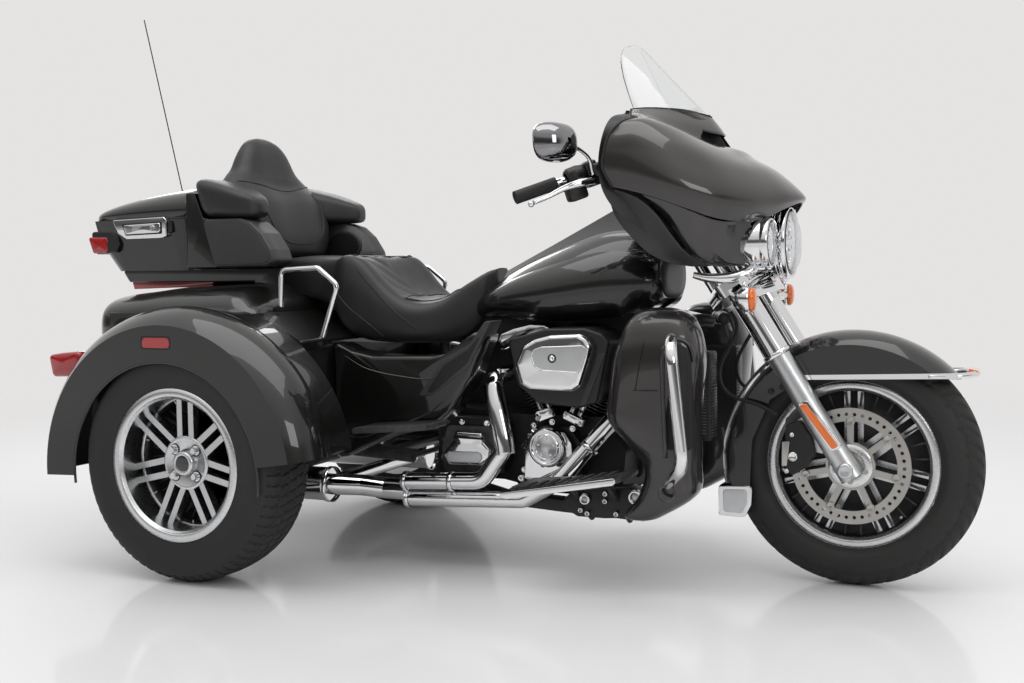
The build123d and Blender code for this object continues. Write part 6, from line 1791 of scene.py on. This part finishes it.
# ---- Settings shown in the panel ----
class TrikeColours(PropertyGroup):
    paint: FloatVectorProperty(name="Fairing paint", description="Charcoal metallic of the fairing",
        subtype="COLOR", size=3, min=0, max=1, default=(0.031, 0.0285, 0.0275))
    # The fairing's paint darkened as painted shade, for the tank, fenders and body panels.
    shade_darkened_paint: FloatVectorProperty(name="Body paint", description="Darker tone of the tank and fenders",
        subtype="COLOR", size=3, min=0, max=1, default=(0.0068, 0.0062, 0.0058))
    alloy: FloatVectorProperty(name="Machined alloy", description="Bare machined metal of the wheels",
        subtype="COLOR", size=3, min=0, max=1, default=(0.68, 0.69, 0.70))
    backdrop: FloatVectorProperty(name="Backdrop", description="Colour of the room behind the machine",
        subtype="COLOR", size=3, min=0, max=1, default=(0.78, 0.77, 0.765))
    floor: FloatVectorProperty(name="Floor", description="Colour of the floor", subtype="COLOR", size=3,
        min=0, max=1, default=(0.80, 0.80, 0.81))


class TrikeSizes(PropertyGroup):
    edge_bevel: FloatProperty(name="Edge bevel", description="Rounding of the rigid parts' edges",
        default=0.0012, min=0, max=0.01, unit="LENGTH")


class TRIKE_OT_finishes(Operator):
    """Makes the finishes and gives every rigid part its own"""
    bl_idname = "trike.finishes"
    bl_label = "Finishes"

    def execute(self, context):
        GROUPS.update({"Fine grain": make_grain_group(), "Edge wear": make_wear_group(),
            "Brushed lines": make_brushed_group(), "Leather grain": make_leather_group()})
        make_finishes(context.scene.trike_colours)
        # Painted parts take the fairing's paint darkened as painted shade; the fairing keeps the plain paint.
        finish_of_slot = {"paint": "shade-darkened paint", "chrome": "polished chrome",
            "machined": "machined alloy", "aluminium": "satin alloy", "steel": "brushed steel",
            "black_metal": "satin black", "plastic": "matte grey plastic", "leather": "black leather",
            "rubber": "black rubber", "tyre": "tyre rubber", "red_lens": "red lens",
            "amber_lens": "amber lens", "screen": "clear screen"}
        own_finish = {"fairing": "charcoal paint", "radiators": "black plastic", "dash": "black plastic",
            "air_cleaner": "black crackle", "crankcase": "black crackle", "cylinders": "satin black",
            "case_covers": "satin black", "front_calipers": "satin black"}
        for row in frame["record"]["subparts"]:
            node = frame["nodes"][row["node"]]
            label = own_finish.get(row["node"], finish_of_slot[row["material_slot"]])
            node.data.materials.clear()
            node.data.materials.append(FINISHES[label])
            node.data.shade_smooth()
            bevel(node, context.scene.trike_sizes.edge_bevel / MM, limit=35, harden_normals=True)
        return {"FINISHED"}


class TRIKE_OT_stage(Operator):
    """Makes the floor, the room, the lights and the camera"""
    bl_idname = "trike.stage"
    bl_label = "Stage"

    def execute(self, context):
        colours = context.scene.trike_colours
        make_camera()
        make_world(tuple(colours.backdrop))
        make_floor(tuple(colours.floor), tuple(colours.backdrop))
        make_light("Ceiling panel", (0.4, -0.6, 3.6), (0.2, 0.0, 0.5), (4.2, 2.6), 62)
        make_light("Front panel", (4.4, -2.6, 2.2), (0.6, 0, 0.6), (1.6, 1.4), 26)
        make_light("Back panel", (-2.6, 3.0, 2.6), (0.0, 0, 0.6), (2.4, 1.4), 30)
        context.scene.view_settings.view_transform = "Standard"
        return {"FINISHED"}


class TRIKE_OT_fairing(Operator):
    """Builds the fairing's shell, its cowl and vent, and the panels under it"""
    bl_idname = "trike.fairing"
    bl_label = "Fairing"

    def execute(self, context):
        build_fairing()
        build_dials()
        return {"FINISHED"}


class TRIKE_OT_screen(Operator):
    """Builds the clear windscreen and its fasteners"""
    bl_idname = "trike.screen"
    bl_label = "Windscreen"

    def execute(self, context):
        build_screen()
        return {"FINISHED"}


class TRIKE_OT_front_lamps(Operator):
    """Builds the headlamp, the passing lamps and the turn signals"""
    bl_idname = "trike.front_lamps"
    bl_label = "Front lamps"

    def execute(self, context):
        build_front_lamps()
        return {"FINISHED"}


class TRIKE_OT_tyres(Operator):
    """Cuts the treads of the three tyres"""
    bl_idname = "trike.tyres"
    bl_label = "Tyres"

    def execute(self, context):
        build_tyres()
        return {"FINISHED"}


class TRIKE_OT_wheels(Operator):
    """Adds the lips, hubs, nuts and dark drums of the wheels"""
    bl_idname = "trike.wheels"
    bl_label = "Wheel fittings"

    def execute(self, context):
        build_wheels()
        return {"FINISHED"}


class TRIKE_OT_seat(Operator):
    """Builds the stitched seat"""
    bl_idname = "trike.seat"
    bl_label = "Seat"

    def execute(self, context):
        build_seat()
        return {"FINISHED"}


class TRIKE_OT_backrest(Operator):
    """Builds the passenger's backrest and its arm pads"""
    bl_idname = "trike.backrest"
    bl_label = "Backrest"

    def execute(self, context):
        build_backrest()
        return {"FINISHED"}


class TRIKE_OT_top_box(Operator):
    """Builds the top box lid, its latch, tray and reflector"""
    bl_idname = "trike.top_box"
    bl_label = "Top box"

    def execute(self, context):
        build_top_box()
        build_tail_lamps()
        return {"FINISHED"}


class TRIKE_OT_side_covers(Operator):
    """Builds the speaker pods, the side covers and the body trim"""
    bl_idname = "trike.side_covers"
    bl_label = "Side covers"

    def execute(self, context):
        build_pods()
        build_side_covers()
        build_body_trim()
        build_trunk_top()
        return {"FINISHED"}


class TRIKE_OT_lower_fairings(Operator):
    """Builds the lower fairings and the radiators between them"""
    bl_idname = "trike.lower_fairings"
    bl_label = "Lower fairings"

    def execute(self, context):
        build_lower_fairings()
        build_radiators()
        return {"FINISHED"}


class TRIKE_OT_engine(Operator):
    """Dresses the engine: air cleaner, rocker boxes, fins and covers"""
    bl_idname = "trike.engine"
    bl_label = "Engine"

    def execute(self, context):
        build_air_cleaner()
        build_cylinders()
        build_case()
        build_dark_fillers()
        return {"FINISHED"}


class TRIKE_OT_exhaust(Operator):
    """Adds the clamps and shields of the exhaust and the footboards' trims"""
    bl_idname = "trike.exhaust"
    bl_label = "Exhaust and footboards"

    def execute(self, context):
        build_exhaust()
        return {"FINISHED"}


class TRIKE_OT_controls(Operator):
    """Builds the mirrors, the grip controls and the levers"""
    bl_idname = "trike.controls"
    bl_label = "Controls"

    def execute(self, context):
        build_mirrors()
        build_controls()
        return {"FINISHED"}


class TRIKE_OT_fork(Operator):
    """Builds the fork's bright covers, its reflectors and the front fender's trim"""
    bl_idname = "trike.fork"
    bl_label = "Fork and front fender"

    def execute(self, context):
        build_fork()
        build_fender_trim()
        return {"FINISHED"}


class TRIKE_PT_panel(Panel):
    """Lists the parts of the dressing and their settings"""
    bl_label = "Trike"
    bl_idname = "TRIKE_PT_panel"
    bl_space_type = "VIEW_3D"
    bl_region_type = "UI"
    bl_category = "Trike"

    def draw(self, context):
        for settings in (context.scene.trike_colours, context.scene.trike_sizes):
            for key in settings.__annotations__:
                self.layout.prop(settings, key)
        for operator in OPERATORS:
            self.layout.operator(operator.bl_idname)


OPERATORS = (TRIKE_OT_finishes, TRIKE_OT_fairing, TRIKE_OT_screen, TRIKE_OT_front_lamps, TRIKE_OT_tyres,
    TRIKE_OT_wheels, TRIKE_OT_seat, TRIKE_OT_backrest, TRIKE_OT_top_box, TRIKE_OT_side_covers,
    TRIKE_OT_lower_fairings, TRIKE_OT_engine, TRIKE_OT_exhaust, TRIKE_OT_controls, TRIKE_OT_fork,
    TRIKE_OT_stage)
CLASSES = (TrikeColours, TrikeSizes, *OPERATORS, TRIKE_PT_panel)


def register():
    for item in CLASSES:
        bpy.utils.register_class(item)
    bpy.types.Scene.trike_colours = PointerProperty(type=TrikeColours)
    bpy.types.Scene.trike_sizes = PointerProperty(type=TrikeSizes)


def unregister():
    del bpy.types.Scene.trike_sizes
    del bpy.types.Scene.trike_colours
    for item in reversed(CLASSES):
        bpy.utils.unregister_class(item)


def main():
    register()
    for operator in OPERATORS:
        area, verb = operator.bl_idname.split(".")
        getattr(getattr(bpy.ops, area), verb)()


if __name__ == "__main__":
    main()
